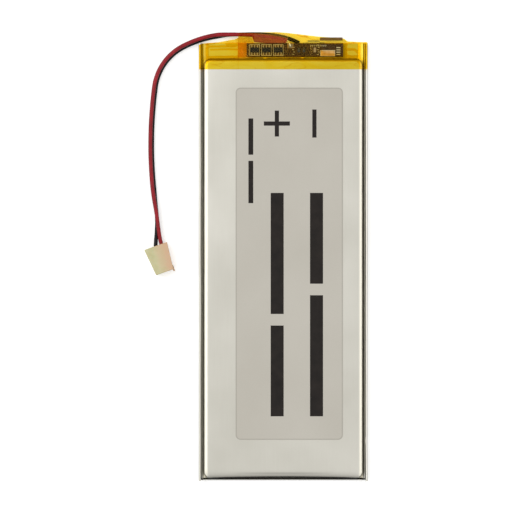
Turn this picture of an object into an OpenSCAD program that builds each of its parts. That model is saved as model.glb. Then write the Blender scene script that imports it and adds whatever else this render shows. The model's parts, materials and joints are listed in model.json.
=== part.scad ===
// Flat pouch battery cell with a taped protection board, two leads and a plug.
// The cell lies on its back: +Z faces the label, +Y the taped head, +X the label's right.
// The origin is the centre of the flat back face.

/* [Cell] */
// Width over the folded side seals
cell_w = 55.8; // [52:0.2:60]
// Length from the bottom fold to the end of the tab terrace
cell_l = 144.4; // [136:0.2:152]
// Thickness from the back face to the front face
cell_t = 3.5; // [3.5:0.1:4.2]
// Thickness of the aluminium laminate film
film_t = 0.15; // [0.11:0.01:0.16]
// Length of the flat top seal that carries the board
terrace_l = 5; // [4.8:0.1:5.4]

/* [Side seals] */
// Width taken by the folded seal and its groove on each side
seal_zone = 1.6; // [1.6:0.1:2.4]
// Width of the sloping border of the back film on each side
border_w = 3.1; // [2.8:0.1:3.4]
// Height of the folded seal's crest above the back face
crest_z = 3; // [2.6:0.1:3]

/* [Winding] */
// Coated electrode thickness
electrode_t = 0.1; // [0.08:0.01:0.11]
// Separator thickness
separator_t = 0.02; // [0.015:0.005:0.03]
// Radius of the winding's flat core
core_r = 0.25; // [0.25:0.01:0.3]

/* [Tabs and board] */
// Tab width
tab_w = 4; // [3:0.5:4]
// Distance from each tab to the middle of the board
tab_offset = 6.2; // [6.2:0.1:7]
// Middle of the board across the cell
board_x = 3.85; // [3:0.05:5]
// Board length across the cell
board_l = 31.9; // [31:0.1:33]
// Board width along the cell
board_w = 4.5; // [4.3:0.1:4.6]

/* [Tape and label] */
// Polyimide tape thickness
tape_t = 0.06; // [0.04:0.01:0.08]
// How far the tape reaches down from the terrace's end
tape_reach = 8.7; // [8:0.1:10]
// Label width
label_w = 35.4; // [30:0.1:40]
// Label length
label_l = 116.3; // [100:0.1:118]

/* [Leads and plug] */
// Lead diameter over its insulation
lead_d = 1.3; // [1.1:0.05:1.3]
// Conductor diameter
core_d = 0.48; // [0.4:0.02:0.5]
// Tilt of the plug away from the cell's length
plug_tilt = 19.5; // [15:0.5:22]
// Plug width at the lead end
plug_w = 7.9; // [7.6:0.1:8.2]
// Plug width at the mating end
plug_nose_w = 6; // [5.8:0.1:6.4]
// Plug length
plug_l = 9.2; // [9:0.1:10]
// Plug thickness
plug_t = 4.8; // [4.6:0.1:5.2]
// Distance between plug positions
plug_pitch = 2; // [2:0.05:2.1]

/* [Hidden] */

film_colour = [0.78, 0.77, 0.74];
amber = [0.86, 0.62, 0.1];
copper_colour = [0.72, 0.45, 0.3];
nickel_colour = [0.75, 0.74, 0.7];
black_plastic = [0.1, 0.1, 0.1];
lead_red = [0.6, 0.16, 0.16];

half_w = cell_w / 2;
y_end = cell_l / 2;
y_bottom = -cell_l / 2;
cup_half_w = half_w - seal_zone;
cup_end = y_end - terrace_l;
cup_bottom = y_bottom + 0.4;
board_y0 = y_end - board_w;
board_mid_y = board_y0 + board_w / 2;
cup_edge_r = 1.3;
cup_corner_r = 2.4;
wall_sink = 1;          // how far the cup's outline runs below the seam before it is trimmed
past_end = 1;           // how far a cutting shape runs past the end that it cuts
arc_steps = 8;

// The back film rises a little at the head, so that two layers of tape stay above the back face.
tape_front_y = y_end - tape_reach;
tape_back_y = tape_front_y - 0.2;
head_rise = 2 * tape_t + 0.01;
head_ramp_l = 0.5;
head_rise_y1 = tape_back_y - 0.2;
head_rise_y0 = head_rise_y1 - head_ramp_l;
head_film_z = head_rise + film_t;

// Side seal: both films go out, up the side, over the crest and back down.
border_rise = 0.47;
hem_r = 0.2;
hem_drop = 1.6;
seam_x = half_w - film_t;
seam_bend_r = 0.6;
crest_seam_z = crest_z - film_t - hem_r;
flat_half_w = half_w - border_w;
flat_lap = 0.5;
seam_rise = concat(
    arc(seam_x - seam_bend_r, film_t + border_rise + seam_bend_r, seam_bend_r, -80, 0),
    arc(seam_x - hem_r, crest_seam_z, hem_r, 0, 180),
    [[seam_x - 2 * hem_r, crest_seam_z - hem_drop]]
);
seam_main = concat([[flat_half_w - flat_lap, film_t], [flat_half_w, film_t]], seam_rise);
seam_head = concat([[flat_half_w - flat_lap, head_film_z], [flat_half_w, head_film_z]], seam_rise);

// Winding: the layers are flattened spirals about the roll's middle.
roll_gap = head_rise + 0.02;
roll_side_gap = 0.3;
roll_end_gap = 1.2;
roll_z = cell_t / 2;
roll_r = cell_t / 2 - film_t - roll_gap;
layer_gap = 0.005;
pitch = 2 * (electrode_t + separator_t + 2 * layer_gap);
roll_half_flat = cup_half_w - film_t - roll_side_gap - roll_r;
wrap_t = pitch / 2 + electrode_t + layer_gap + separator_t;
half_turns = floor(2 * (roll_r - core_r - wrap_t) / pitch);
roll_y0 = cup_bottom + film_t + roll_end_gap;
roll_y1 = cup_end - film_t - roll_end_gap;
separator_margin = 0.7;
closing_tape_half_w = 10;
closing_tape_margin = 5;
closing_tape_t = 0.04;

// Tabs: each comes out of the core, through the top seal, and folds back under the board.
tab_t = 0.1;
tab_inner_l = 25;
sealant_t = 0.1;
sealant_side = 1.5;
sealant_proud = 0.4;
sealant_start = cup_end + 0.1;
tab_seal_z = head_film_z + sealant_t + tab_t / 2;
tab_fold_r = 0.5;
tab_fold_y = y_end + 0.45;
tab_top_z = tab_seal_z + 2 * tab_fold_r;
tab_touch_gap = 0.005;
tab_clear = 0.1;        // how far a tab runs straight on past the roll
tab_slant = 0.3;        // how far it slants down before and after its drop to the seal
tab_end_y = board_y0 + 0.5;
weld_tape_margin = 1;
weld_tape_t = 0.04;
positive_x = board_x - tab_offset;
negative_x = board_x + tab_offset;
tab_xs = [positive_x, negative_x];

// Head stack, from the bridges over the tab seals up to the parts on the board.
sealant_top = head_film_z + 2 * sealant_t + tab_t;
bridge_z = sealant_top + film_t;
paper_z = bridge_z + 0.02;
paper_t = 0.1;
paper_margin = 1;
paper_y = [board_y0 - 0.1, y_end - 0.2];
nickel_t = 0.15;
nickel_inset = 0.2;
nickel_y = [board_y0 + 0.6, y_end - 0.4];
nickel_z = tab_top_z + tab_t / 2;
board_z = nickel_z + nickel_t;
board_t = 0.6;
board_top = board_z + board_t;
pad_t = 0.04;
parts_z = board_top + pad_t;

// Small packages with three leads a side, chip parts, and the pads they stand on.
ic_pin_pitch = 0.95;
ic_row = 1.3;
ic_body_l = 2.9;
ic_body_w = 1.6;
ic_body_h = 0.95;
ic_lift = 0.1;
ic_lead_w = 0.4;
ic_lead_t = 0.15;
ic_foot_l = 0.5;
ic_lead_lap = 0.1;
ic_foot_lap = 0.02;
ic_pad = [0.5, 0.7];
ic_xs = [board_x - 13.3, board_x - 9.4, board_x - 5.5];
chip_w = 0.8;
chip_l = 1.6;
resistor_h = 0.45;
capacitor_h = 0.7;
chip_pad = [0.7, 0.4];
chip_pad_row = 0.55;
resistor_xs = [board_x + 1.3, board_x + 3];
capacitor_x = board_x + 6.6;
test_pad = [4.6, 1.7];
test_pad_at = [board_x + 10.85, board_y0 + 1.2];
lead_pad = [1.9, 1.5];

// Insulator above the board's edge, near the board's right end.
insulator_x = board_x + 12.05;
insulator_l = 7.5;
insulator_y = y_end + 0.9;
insulator_w = 1;
insulator_z = [board_z - 0.3, board_top + 0.4];

// Tape: a wide strip folded over the head. Its folded edge stands out over the leads.
tape_step_z = cell_t - 0.1;
tape_slope_y = [cup_end - 0.3, cup_end + 0.6];
tape_chamfer = 0.4;
tape_exit_x = -14.9;
strip_z = head_rise - 2 * tape_t;
strip_inset = 1;
board_strip_w = 5.2;
board_strip_end = board_x + 17;
corner_strip_inset = 1.9;
corner_strip_y = tape_back_y + 0.3;
strip_gap = 0.1;
tape_zones = [
    [-half_w, tape_exit_x, 0.15],
    [tape_exit_x, 8, 3.65],
    [8, 20, 2.1],
    [20, half_w, 0.4]
];

label_x = 2;
label_y = -0.7;
label_t = 0.08;
label_corner_r = 1.6;
label_z = cell_t + label_t;

// The print is flush with the label's face: two polarity marks, then bars as [x, y, length].
print_t = 0.02;
mark_y = label_y + 46.3;
mark_w = 1.4;
plus_x = label_x - 4.1;
plus_l = 8.6;
minus_x = label_x + 8.3;
minus_l = 9.3;
wide_bar_w = 4.3;
wide_bars = [[9, 8.4, 30], [9, -30.4, 40], [-4, 3.4, 40], [-4, -35.4, 30]];
narrow_bar_w = 1.6;
narrow_bars = [[-12.7, 42, 12], [-12.7, 27, 14]];

// Leads: each piece is one bend, given as [radius, turn in degrees], that starts where the last
// one ends. Pieces on different bodies leave a gap at the hinge between them.
lead_r = lead_d / 2;
core_r_lead = core_d / 2;
core_gap = 0.01;
red_z = 2.6;
black_z = 0.8;
exit_point = [-16.5, y_end + 2.9];
hinge_gap = lead_r + 0.1;
upper_bend = [36, 27.5];
shoulder_bend = [17.5, 55];
lower_bend = [146, 15.8];
red_root_bend = [78, 13.5];
black_root_bend = [111, 11.4];
stripped_l = 0.8;
tinned_lap = 0.4;
shoulder_point = bend_end(exit_point, 0, upper_bend);
shoulder_angle = upper_bend[1];
lower_point = bend_end(shoulder_point, shoulder_angle, shoulder_bend);
lower_angle = shoulder_angle + shoulder_bend[1];
plug_hinge = bend_end(lower_point, lower_angle, lower_bend);
plug_hinge_angle = lower_angle + lower_bend[1];
red_pad = [board_x - 1.45, y_end - 0.9];
black_pad = [board_x + 2.75, y_end - 1];
tinned_r = core_r_lead + 0.03;
solder_half_w = 0.8;
solder_half_l = 0.65;
solder_h = 0.5;
pad_gap = 0.02;

// Plug: its rear face's middle is the second position, where the black lead enters.
plug_rear = plug_hinge - [0.05, 12.5];
end_reach = 4.5;
plug_mid_z = plug_t / 2;
plug_key_w = 0.55;
plug_key_h = 0.8;
plug_key_proud = [0.35, 0.7];
plug_key_lap = 1.4;
cavity_w = 1.3;
cavity_h = 1.9;
rear_cavity_w = 1.65;
rear_cavity_l = 4.3;
crimp_window_w = 1;
crimp_window_l = 2.3;
sleeve_end = 2.6;
grip_l = 1.2;
barrel_l = 1.5;
contact_l = 4.4;
contact_outer = [1.1, 1.65];
contact_inner = [0.66, 1.1];
grip_t = 0.1;
core_end = sleeve_end + 1.4;
end_steps = 12;
ring_steps = 16;

// ---- Shared geometry ----

// Points on an arc about (cx, cy) from angle a0 to angle a1.
function arc(cx, cy, r, a0, a1) =
    [for (i = [0:arc_steps]) let (a = a0 + (a1 - a0) * i / arc_steps) [cx + r * cos(a), cy + r * sin(a)]];

function along(p, q) = (q - p) / norm(q - p);

function right_of(d) = [d[1], -d[0]];

// The path's point i, moved sideways by t to the right of the path's direction.
function shifted(path, i, t) =
    let (
        last = len(path) - 1,
        before = right_of(along(path[max(i - 1, 0)], path[max(i, 1)])),
        after = right_of(along(path[min(i, last - 1)], path[min(i + 1, last)]))
    )
    path[i] + (before + after) * t / (1 + before * after);

// Outline of a film that follows a path, t thick, on the right of it (left if t is negative).
module film(path, t) {
    last = len(path) - 1;
    polygon(concat(path, [for (i = [last:-1:0]) shifted(path, i, t)]));
}

// Outline of a strip t thick whose middle follows a path.
module strip(path, t) {
    last = len(path) - 1;
    polygon(concat(
        [for (i = [0:last]) shifted(path, i, t / 2)],
        [for (i = [last:-1:0]) shifted(path, i, -t / 2)]
    ));
}

// Extrudes an outline drawn in X and Z along Y.
module along_y(y0, y1) {
    translate([0, y1, 0])
        rotate([90, 0, 0])
            linear_extrude(y1 - y0)
                children();
}

// Extrudes an outline drawn in Y and Z along X.
module along_x(x0, x1) {
    translate([x0, 0, 0])
        rotate([90, 0, 90])
            linear_extrude(x1 - x0)
                children();
}

module box(x0, x1, y0, y1, z0, z1) {
    translate([x0, y0, z0])
        cube([x1 - x0, y1 - y0, z1 - z0]);
}

module both_sides() {
    children();
    mirror([1, 0, 0])
        children();
}

// ---- Pouch ----

// Outline of a cup that is w wide each side of the middle, with round top edges.
function cup_section(a0, a1, top, r) = concat(
    [[a0, film_t - wall_sink], [a1, film_t - wall_sink]],
    arc(a1 - r, top - r, r, 0, 90),
    arc(a0 + r, top - r, r, 90, 180)
);

function round_rectangle(x0, x1, y0, y1, r) = concat(
    arc(x1 - r, y1 - r, r, 0, 90),
    arc(x0 + r, y1 - r, r, 90, 180),
    arc(x0 + r, y0 + r, r, 180, 270),
    arc(x1 - r, y0 + r, r, 270, 360)
);

module cup_solid(inset) {
    w = cup_half_w - inset;
    y0 = cup_bottom + inset;
    y1 = cup_end - inset;
    r = cup_edge_r - inset;
    intersection() {
        along_y(y0, y1)
            polygon(cup_section(-w, w, cell_t - inset, r));
        along_x(-w, w)
            polygon(cup_section(y0, y1, cell_t - inset, r));
        translate([0, 0, -wall_sink])
            linear_extrude(cell_t + 2 * wall_sink)
                polygon(round_rectangle(-w, w, y0, y1, cup_corner_r - inset));
    }
}

// The back film's inner face in Y and Z: flat, then a little higher at the head.
function lid_path(y0, y1) = [
    [y0, film_t], [head_rise_y0, film_t], [head_rise_y1, head_film_z], [y1, head_film_z]
];

// The space below the seam between the two films, where the flat part's inner face is at z.
module below_seam(z, y0, y1) {
    foot = seam_rise[0];
    deep = -wall_sink - past_end;
    along_y(y0, y1)
        polygon([
            [-foot[0], foot[1]], [-flat_half_w, z], [flat_half_w, z], foot,
            [foot[0], deep], [-foot[0], deep]
        ]);
}

module above_lid() {
    deep = -wall_sink - past_end;
    difference() {
        children();
        below_seam(film_t, y_bottom - past_end, y_end + past_end);
        below_seam(head_film_z, head_rise_y1, y_end + past_end);
        along_x(-flat_half_w, flat_half_w)
            polygon(concat(
                lid_path(y_bottom - past_end, y_end + past_end),
                [[y_end + past_end, deep], [y_bottom - past_end, deep]]
            ));
    }
}

// One film of both side seals, t thick to the right of the seam, from the seam's point first on.
module side_films(first, t) {
    both_sides() {
        along_y(y_bottom, head_rise_y1)
            film([for (i = [first:len(seam_main) - 1]) seam_main[i]], t);
        along_y(head_rise_y1, y_end)
            film([for (i = [first:len(seam_head) - 1]) seam_head[i]], t);
    }
}

module pouch_lid() {
    color(film_colour) {
        along_x(-flat_half_w, flat_half_w)
            film(lid_path(y_bottom, y_end), film_t);
        side_films(0, film_t);
    }
}

// Where each tab's sealant strips sit between the two films.
module sealant_pockets() {
    for (x = tab_xs)
        box(x - tab_w / 2 - sealant_side, x + tab_w / 2 + sealant_side,
            cup_end - past_end, y_end + past_end, head_film_z, sealant_top);
}

module pouch_cup() {
    bridge_half_w = tab_w / 2 + sealant_side + film_t;
    color(film_colour)
        difference() {
            union() {
                above_lid()
                    cup_solid(0);
                side_films(1, -film_t);
                box(-flat_half_w, flat_half_w, cup_end - past_end, y_end,
                    head_film_z, head_film_z + film_t);
                for (x = tab_xs)
                    box(x - bridge_half_w, x + bridge_half_w, cup_end - past_end, y_end,
                        head_film_z, bridge_z);
            }
            cup_solid(film_t);
            sealant_pockets();
        }
}

// ---- Winding ----

// A spiral layer of the roll: first_turn and last_turn count half turns from the lower run.
function spiral(offset, first, last) =
    [for (h = [first:last - 1]) for (i = [0:arc_steps])
        let (
            s = h / 2 + i / arc_steps / 2,
            a = -90 + 360 * s,
            r = core_r + offset + pitch * s,
            side = (h % 2 == 0) ? roll_half_flat : -roll_half_flat
        )
        [side + r * cos(a), roll_z + r * sin(a)]
    ];

module layer(offset, first, t, margin) {
    start_side = (first % 2 == 0) ? -1 : 1;
    points = spiral(offset, first, half_turns);
    lead_in = [start_side * roll_half_flat, points[0][1]];
    along_y(roll_y0 + margin, roll_y1 - margin)
        film(concat([lead_in], points), t);
}

module cathode_foil() {
    color([0.25, 0.25, 0.27])
        layer(0, 0, electrode_t, 2 * separator_margin);
}

module separator_inner() {
    color("white")
        layer(electrode_t + layer_gap, 0, separator_t, 0);
}

module anode_foil() {
    color(copper_colour)
        layer(pitch / 2, -1, electrode_t, separator_margin);
}

module separator_outer() {
    color("white")
        layer(pitch / 2 + electrode_t + layer_gap, -1, separator_t, 0);
}

module roll_closing_tape() {
    color(amber)
        box(-closing_tape_half_w, closing_tape_half_w,
            roll_y0 + closing_tape_margin, roll_y1 - closing_tape_margin,
            roll_z + roll_r + layer_gap, roll_z + roll_r + layer_gap + closing_tape_t);
}

// ---- Tabs ----

// Path of a tab's middle in Y and Z, from inside the core to its folded end.
function tab_path(core_z) = concat(
    [
        [roll_y1 - tab_inner_l, core_z],
        [roll_y1 + tab_clear, core_z],
        [roll_y1 + tab_clear + tab_slant, core_z - tab_slant],
        [roll_y1 + tab_clear + tab_slant, tab_seal_z + tab_slant],
        [roll_y1 + tab_clear + 2 * tab_slant, tab_seal_z]
    ],
    arc(tab_fold_y, tab_seal_z + tab_fold_r, tab_fold_r, -90, 90),
    [[tab_end_y, tab_top_z]]
);

module tab(x, core_z) {
    along_x(x - tab_w / 2, x + tab_w / 2)
        strip(tab_path(core_z), tab_t);
}

module positive_tab() {
    color([0.85, 0.86, 0.87])
        tab(positive_x, roll_z - core_r + tab_t / 2 + tab_touch_gap);
}

module negative_tab() {
    color(nickel_colour)
        tab(negative_x, roll_z + core_r - tab_t / 2 - tab_touch_gap);
}

module tab_seal_films() {
    color([0.93, 0.92, 0.86, 0.8])
        for (x = tab_xs)
            difference() {
                box(x - tab_w / 2 - sealant_side, x + tab_w / 2 + sealant_side,
                    sealant_start, y_end + sealant_proud, head_film_z, sealant_top);
                box(x - tab_w / 2, x + tab_w / 2, cup_end - past_end, y_end + past_end,
                    tab_seal_z - tab_t / 2, tab_seal_z + tab_t / 2);
            }
}

// Thin tape over the weld of each tab, on the side that faces the core.
module tab_weld_tapes() {
    weld_tape_z = core_r - tab_t - 2 * tab_touch_gap;
    color(amber)
        for (side = [-1, 1]) {
            x = (side < 0) ? positive_x : negative_x;
            near = roll_z + side * weld_tape_z;
            far = near - side * weld_tape_t;
            box(x - tab_w / 2 - weld_tape_margin, x + tab_w / 2 + weld_tape_margin,
                roll_y1 - tab_inner_l - 2 * weld_tape_margin, roll_y1 - weld_tape_margin,
                min(near, far), max(near, far));
        }
}

// ---- Protection board ----

module insulating_paper() {
    color([0.86, 0.88, 0.8])
        box(board_x - board_l / 2 - paper_margin, board_x + board_l / 2 + paper_margin,
            paper_y[0], paper_y[1], paper_z, paper_z + paper_t);
}

module nickel_strips() {
    color(nickel_colour)
        for (x = tab_xs)
            box(x - tab_w / 2 + nickel_inset, x + tab_w / 2 - nickel_inset,
                nickel_y[0], nickel_y[1], nickel_z, nickel_z + nickel_t);
}

module circuit_board() {
    color([0.09, 0.13, 0.08])
        box(board_x - board_l / 2, board_x + board_l / 2, board_y0, y_end, board_z, board_top);
}

// A pad of the given width and length, centred at p, with its lower face at z.
module pad(p, size, z) {
    box(p[0] - size[0] / 2, p[0] + size[0] / 2, p[1] - size[1] / 2, p[1] + size[1] / 2, z, z + pad_t);
}

module board_pads() {
    color([0.85, 0.65, 0.2]) {
        for (x = ic_xs, pin = [-1:1], side = [-1, 1])
            pad([x + pin * ic_pin_pitch, board_mid_y + side * ic_row], ic_pad, board_top);
        for (x = concat(resistor_xs, [capacitor_x]), side = [-1, 1])
            pad([x, board_mid_y + side * chip_pad_row], chip_pad, board_top);
        pad(test_pad_at, test_pad, board_top);
        pad(red_pad, lead_pad, board_top);
        pad(black_pad, lead_pad, board_z - pad_t);
    }
}

// One gull-wing lead of a small package: a foot on its pad and a bar into the body.
module package_lead(x, side) {
    foot = board_mid_y + side * ic_row;
    root = board_mid_y + side * (ic_body_w / 2 - ic_lead_lap);
    box(x - ic_lead_w / 2, x + ic_lead_w / 2, foot - ic_foot_l / 2, foot + ic_foot_l / 2,
        parts_z, parts_z + ic_lift + ic_foot_lap);
    box(x - ic_lead_w / 2, x + ic_lead_w / 2, min(root, foot), max(root, foot),
        parts_z + ic_lift, parts_z + ic_lift + ic_lead_t);
}

// A small package with three gull-wing leads on each long side.
module small_package(x) {
    box(x - ic_body_l / 2, x + ic_body_l / 2, board_mid_y - ic_body_w / 2, board_mid_y + ic_body_w / 2,
        parts_z + ic_lift, parts_z + ic_lift + ic_body_h);
    for (pin = [-1:1], side = [-1, 1])
        package_lead(x + pin * ic_pin_pitch, side);
}

module protection_ic() {
    color(black_plastic)
        small_package(ic_xs[0]);
}

module mosfets() {
    color(black_plastic)
        for (i = [1, 2])
            small_package(ic_xs[i]);
}

// A two-ended chip part, its length along Y.
module chip(x, h) {
    box(x - chip_w / 2, x + chip_w / 2, board_mid_y - chip_l / 2, board_mid_y + chip_l / 2,
        parts_z, parts_z + h);
}

module chip_resistors() {
    color([0.15, 0.15, 0.16])
        for (x = resistor_xs)
            chip(x, resistor_h);
}

module chip_capacitor() {
    color([0.72, 0.6, 0.42])
        chip(capacitor_x, capacitor_h);
}

module solder_joints() {
    color([0.8, 0.81, 0.82]) {
        solder_bead(red_pad, board_top + pad_t, 1);
        solder_bead(black_pad, board_z - pad_t, -1);
    }
}

// A low bead of solder beside the end of a conductor, cleared around the conductor.
module solder_bead(p, z, up) {
    difference() {
        box(p[0] - solder_half_w, p[0] + solder_half_w, p[1] - solder_half_l, p[1] + solder_half_l,
            min(z, z + up * solder_h), max(z, z + up * solder_h));
        conductors_to_board(tinned_r + core_gap);
    }
}

module edge_insulator() {
    color(black_plastic)
        box(insulator_x - insulator_l / 2, insulator_x + insulator_l / 2,
            insulator_y, insulator_y + insulator_w, insulator_z[0], insulator_z[1]);
}

// ---- Tape and label ----

// The tape's inner path in Y and Z, folded over the head at y_fold.
function tape_path(y_fold) = [
    [tape_front_y, cell_t],
    [tape_slope_y[0], cell_t],
    [tape_slope_y[1], tape_step_z],
    [y_fold - tape_chamfer, tape_step_z],
    [y_fold, tape_step_z - tape_chamfer],
    [y_fold, head_rise],
    [tape_back_y, head_rise]
];

module head_tape() {
    color(amber)
        for (zone = tape_zones)
            along_x(zone[0], zone[1])
                film(tape_path(y_end + zone[2]), -tape_t);
}

module board_tape_strip() {
    color(amber)
        box(tape_exit_x, board_strip_end, y_end - strip_inset - board_strip_w, y_end - strip_inset,
            strip_z, strip_z + tape_t);
}

module corner_tape_strip() {
    color(amber)
        box(corner_strip_inset - half_w, tape_exit_x - strip_gap, corner_strip_y, y_end - strip_inset,
            strip_z, strip_z + tape_t);
}

module label() {
    color([0.75, 0.73, 0.69])
        difference() {
            translate([0, 0, cell_t])
                linear_extrude(label_t)
                    polygon(round_rectangle(label_x - label_w / 2, label_x + label_w / 2,
                        label_y - label_l / 2, label_y + label_l / 2, label_corner_r));
            print_bars(label_z + past_end);
        }
}

module print_bar(x, y, w, l, top) {
    box(x - w / 2, x + w / 2, y - l / 2, y + l / 2, label_z - print_t, top);
}

// The plus sign is one upright bar with an arm on each side of it.
module print_bars(top) {
    arm_l = (plus_l - mark_w) / 2;
    print_bar(minus_x, mark_y, mark_w, minus_l, top);
    print_bar(plus_x, mark_y, mark_w, plus_l, top);
    for (side = [-1, 1])
        print_bar(plus_x + side * (mark_w + arm_l) / 2, mark_y, arm_l, mark_w, top);
    for (bar = wide_bars)
        print_bar(label_x + bar[0], label_y + bar[1], wide_bar_w, bar[2], top);
    for (bar = narrow_bars)
        print_bar(label_x + bar[0], label_y + bar[1], narrow_bar_w, bar[2], top);
}

module label_print() {
    color(black_plastic)
        print_bars(label_z);
}

// ---- Leads ----

// A heading of 0 degrees runs along -X, and a bend turns it towards -Y.
function heading(a) = [-cos(a), -sin(a)];

function bend_centre(p, a, r) = p + r * [sin(a), -cos(a)];

function bend_end(p, a, bend) =
    bend_centre(p, a, bend[0]) - bend[0] * [sin(a + bend[1]), -cos(a + bend[1])];

// The part of a bend's angle that a length along it takes up.
function angle_of(length, bend) = length / bend[0] * 180 / PI;

module ring(r, bore) {
    difference() {
        circle(r, $fn = 32);
        if (bore > 0)
            circle(bore, $fn = 32);
    }
}

// A tube along one bend that starts at p with heading a, after a gap.
module bend_tube(p, a, bend, z, r, bore, gap) {
    centre = bend_centre(p, a, bend[0]);
    skip = angle_of(gap, bend);
    translate([centre[0], centre[1], z])
        rotate([0, 0, 90 + a + skip])
            rotate_extrude(angle = bend[1] - skip, $fn = 64)
                translate([bend[0], 0])
                    ring(r, bore);
}

// The same on the board's side of the exit, mirrored about the exit.
module root_tube(bend, z, r, bore) {
    translate([2 * exit_point[0], 0, 0])
        mirror([1, 0, 0])
            bend_tube(exit_point, 0, bend, z, r, bore, 0);
}

// A bend without the length that is stripped off its end.
function insulated(bend) = [bend[0], bend[1] - angle_of(stripped_l, bend)];

module upper_tube(z, r, bore) {
    bend_tube(exit_point, 0, upper_bend, z, r, bore, hinge_gap);
}

module shoulder_tube(z, r, bore) {
    bend_tube(shoulder_point, shoulder_angle, shoulder_bend, z, r, bore, hinge_gap);
}

module lower_tube(z, r, bore) {
    bend_tube(lower_point, lower_angle, lower_bend, z, r, bore, hinge_gap);
}

// A straight bar from p to q.
module rod(p, q, r) {
    d = q - p;
    translate(p)
        rotate([0, acos(d[2] / norm(d)), atan2(d[1], d[0])])
            cylinder(norm(d), r, r, $fn = 32);
}

function flat_point(p, z) = [p[0], p[1], z];

// A point on a root bend, a little short of its end, where the tinned end starts.
function root_end(bend) =
    let (q = bend_end(exit_point, 0, [bend[0], bend[1] - angle_of(tinned_lap, bend)]))
    [2 * exit_point[0] - q[0], q[1]];

// The tinned ends of both conductors, from the stripped end of each root bend to the board.
module conductors_to_board(r) {
    red_end_z = parts_z + tinned_r + pad_gap;
    black_end_z = board_z - pad_t - tinned_r - pad_gap;
    rod(flat_point(root_end(red_root_bend), red_z), flat_point(red_pad, red_end_z), r);
    rod(flat_point(root_end(black_root_bend), black_z), flat_point(black_pad, black_end_z), r);
}

module red_lead_root() {
    color(lead_red)
        root_tube(insulated(red_root_bend), red_z, lead_r, core_r_lead + core_gap);
}

module black_lead_root() {
    color(black_plastic)
        root_tube(insulated(black_root_bend), black_z, lead_r, core_r_lead + core_gap);
}

module lead_cores_root() {
    color(copper_colour) {
        root_tube(red_root_bend, red_z, core_r_lead, 0);
        root_tube(black_root_bend, black_z, core_r_lead, 0);
        conductors_to_board(tinned_r);
    }
}

module red_lead_upper() {
    color(lead_red)
        upper_tube(red_z, lead_r, core_r_lead + core_gap);
}

module black_lead_upper() {
    color(black_plastic)
        upper_tube(black_z, lead_r, core_r_lead + core_gap);
}

module lead_cores_upper() {
    color(copper_colour)
        for (z = [red_z, black_z])
            upper_tube(z, core_r_lead, 0);
}

module red_lead_bend() {
    color(lead_red)
        shoulder_tube(red_z, lead_r, core_r_lead + core_gap);
}

module black_lead_bend() {
    color(black_plastic)
        shoulder_tube(black_z, lead_r, core_r_lead + core_gap);
}

module lead_cores_bend() {
    color(copper_colour)
        for (z = [red_z, black_z])
            shoulder_tube(z, core_r_lead, 0);
}

module red_lead_lower() {
    color(lead_red)
        lower_tube(red_z, lead_r, core_r_lead + core_gap);
}

module black_lead_lower() {
    color(black_plastic)
        lower_tube(black_z, lead_r, core_r_lead + core_gap);
}

module lead_cores_lower() {
    color(copper_colour)
        for (z = [red_z, black_z])
            lower_tube(z, core_r_lead, 0);
}

// ---- Plug ----

// Moves a shape from the plug's own frame, rear face at y = 0 and nose towards -Y.
module at_plug() {
    translate([plug_rear[0], plug_rear[1], 0])
        rotate([0, 0, plug_tilt])
            children();
}

// The point in the row's frame that is x across and y along from the plug's rear face.
function plug_point(x, y) =
    plug_rear + [x * cos(plug_tilt) - y * sin(plug_tilt), x * sin(plug_tilt) + y * cos(plug_tilt)];

function plug_point_z(x, y) = flat_point(plug_point(x, y), plug_mid_z);

function bezier(p, t) =
    pow(1 - t, 3) * p[0] + 3 * pow(1 - t, 2) * t * p[1] + 3 * (1 - t) * t * t * p[2] + pow(t, 3) * p[3];

// The middle line of a lead from the plug's hinge to position x, then depth into the plug.
function end_path(x, z, depth) =
    let (
        out = heading(plug_hinge_angle),
        start = flat_point(plug_hinge + hinge_gap * out, z),
        p = [start, start + end_reach * flat_point(out, 0), plug_point_z(x, end_reach), plug_point_z(x, 0)]
    )
    concat([for (i = [0:end_steps]) bezier(p, i / end_steps)], [plug_point_z(x, -depth)]);

// The points of a circle of radius r across a path at its point i.
function path_ring(path, i, r) =
    let (
        ahead = along(path[max(i - 1, 0)], path[min(i + 1, len(path) - 1)]),
        across = cross(ahead, [0, 0, 1]) / norm(cross(ahead, [0, 0, 1])),
        over = cross(across, ahead)
    )
    [for (k = [0:ring_steps - 1])
        let (a = 360 * k / ring_steps) path[i] + r * (cos(a) * across + sin(a) * over)];

// A round bar of radius r along a path in space.
module path_bar(path, r) {
    n = ring_steps;
    last = len(path) - 1;
    points = [for (i = [0:last]) for (point = path_ring(path, i, r)) point];
    walls = [for (i = [0:last - 1]) for (k = [0:n - 1])
        let (a = i * n + k, b = i * n + (k + 1) % n)
        for (face = [[a, b, b + n], [a, b + n, a + n]]) face];
    polyhedron(points, concat([[for (k = [n - 1:-1:0]) k]], walls, [[for (k = [0:n - 1]) last * n + k]]));
}

// The insulation of a lead in the plug, around a bore that clears the conductor.
module lead_sleeve(x, z) {
    past = 0.2;
    path = end_path(x, z, sleeve_end);
    last = len(path) - 1;
    longer = concat(
        [path[0] - past * along(path[0], path[1])],
        [for (i = [1:last - 1]) path[i]],
        [path[last] + past * along(path[last - 1], path[last])]
    );
    difference() {
        path_bar(path, lead_r);
        path_bar(longer, core_r_lead + 2 * core_gap);
    }
}

module red_lead_end() {
    color(lead_red)
        lead_sleeve(plug_pitch, red_z);
}

module black_lead_end() {
    color(black_plastic)
        lead_sleeve(0, black_z);
}

module lead_cores_end() {
    color(copper_colour) {
        path_bar(end_path(plug_pitch, red_z, core_end), core_r_lead);
        path_bar(end_path(0, black_z, core_end), core_r_lead);
    }
}

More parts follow.
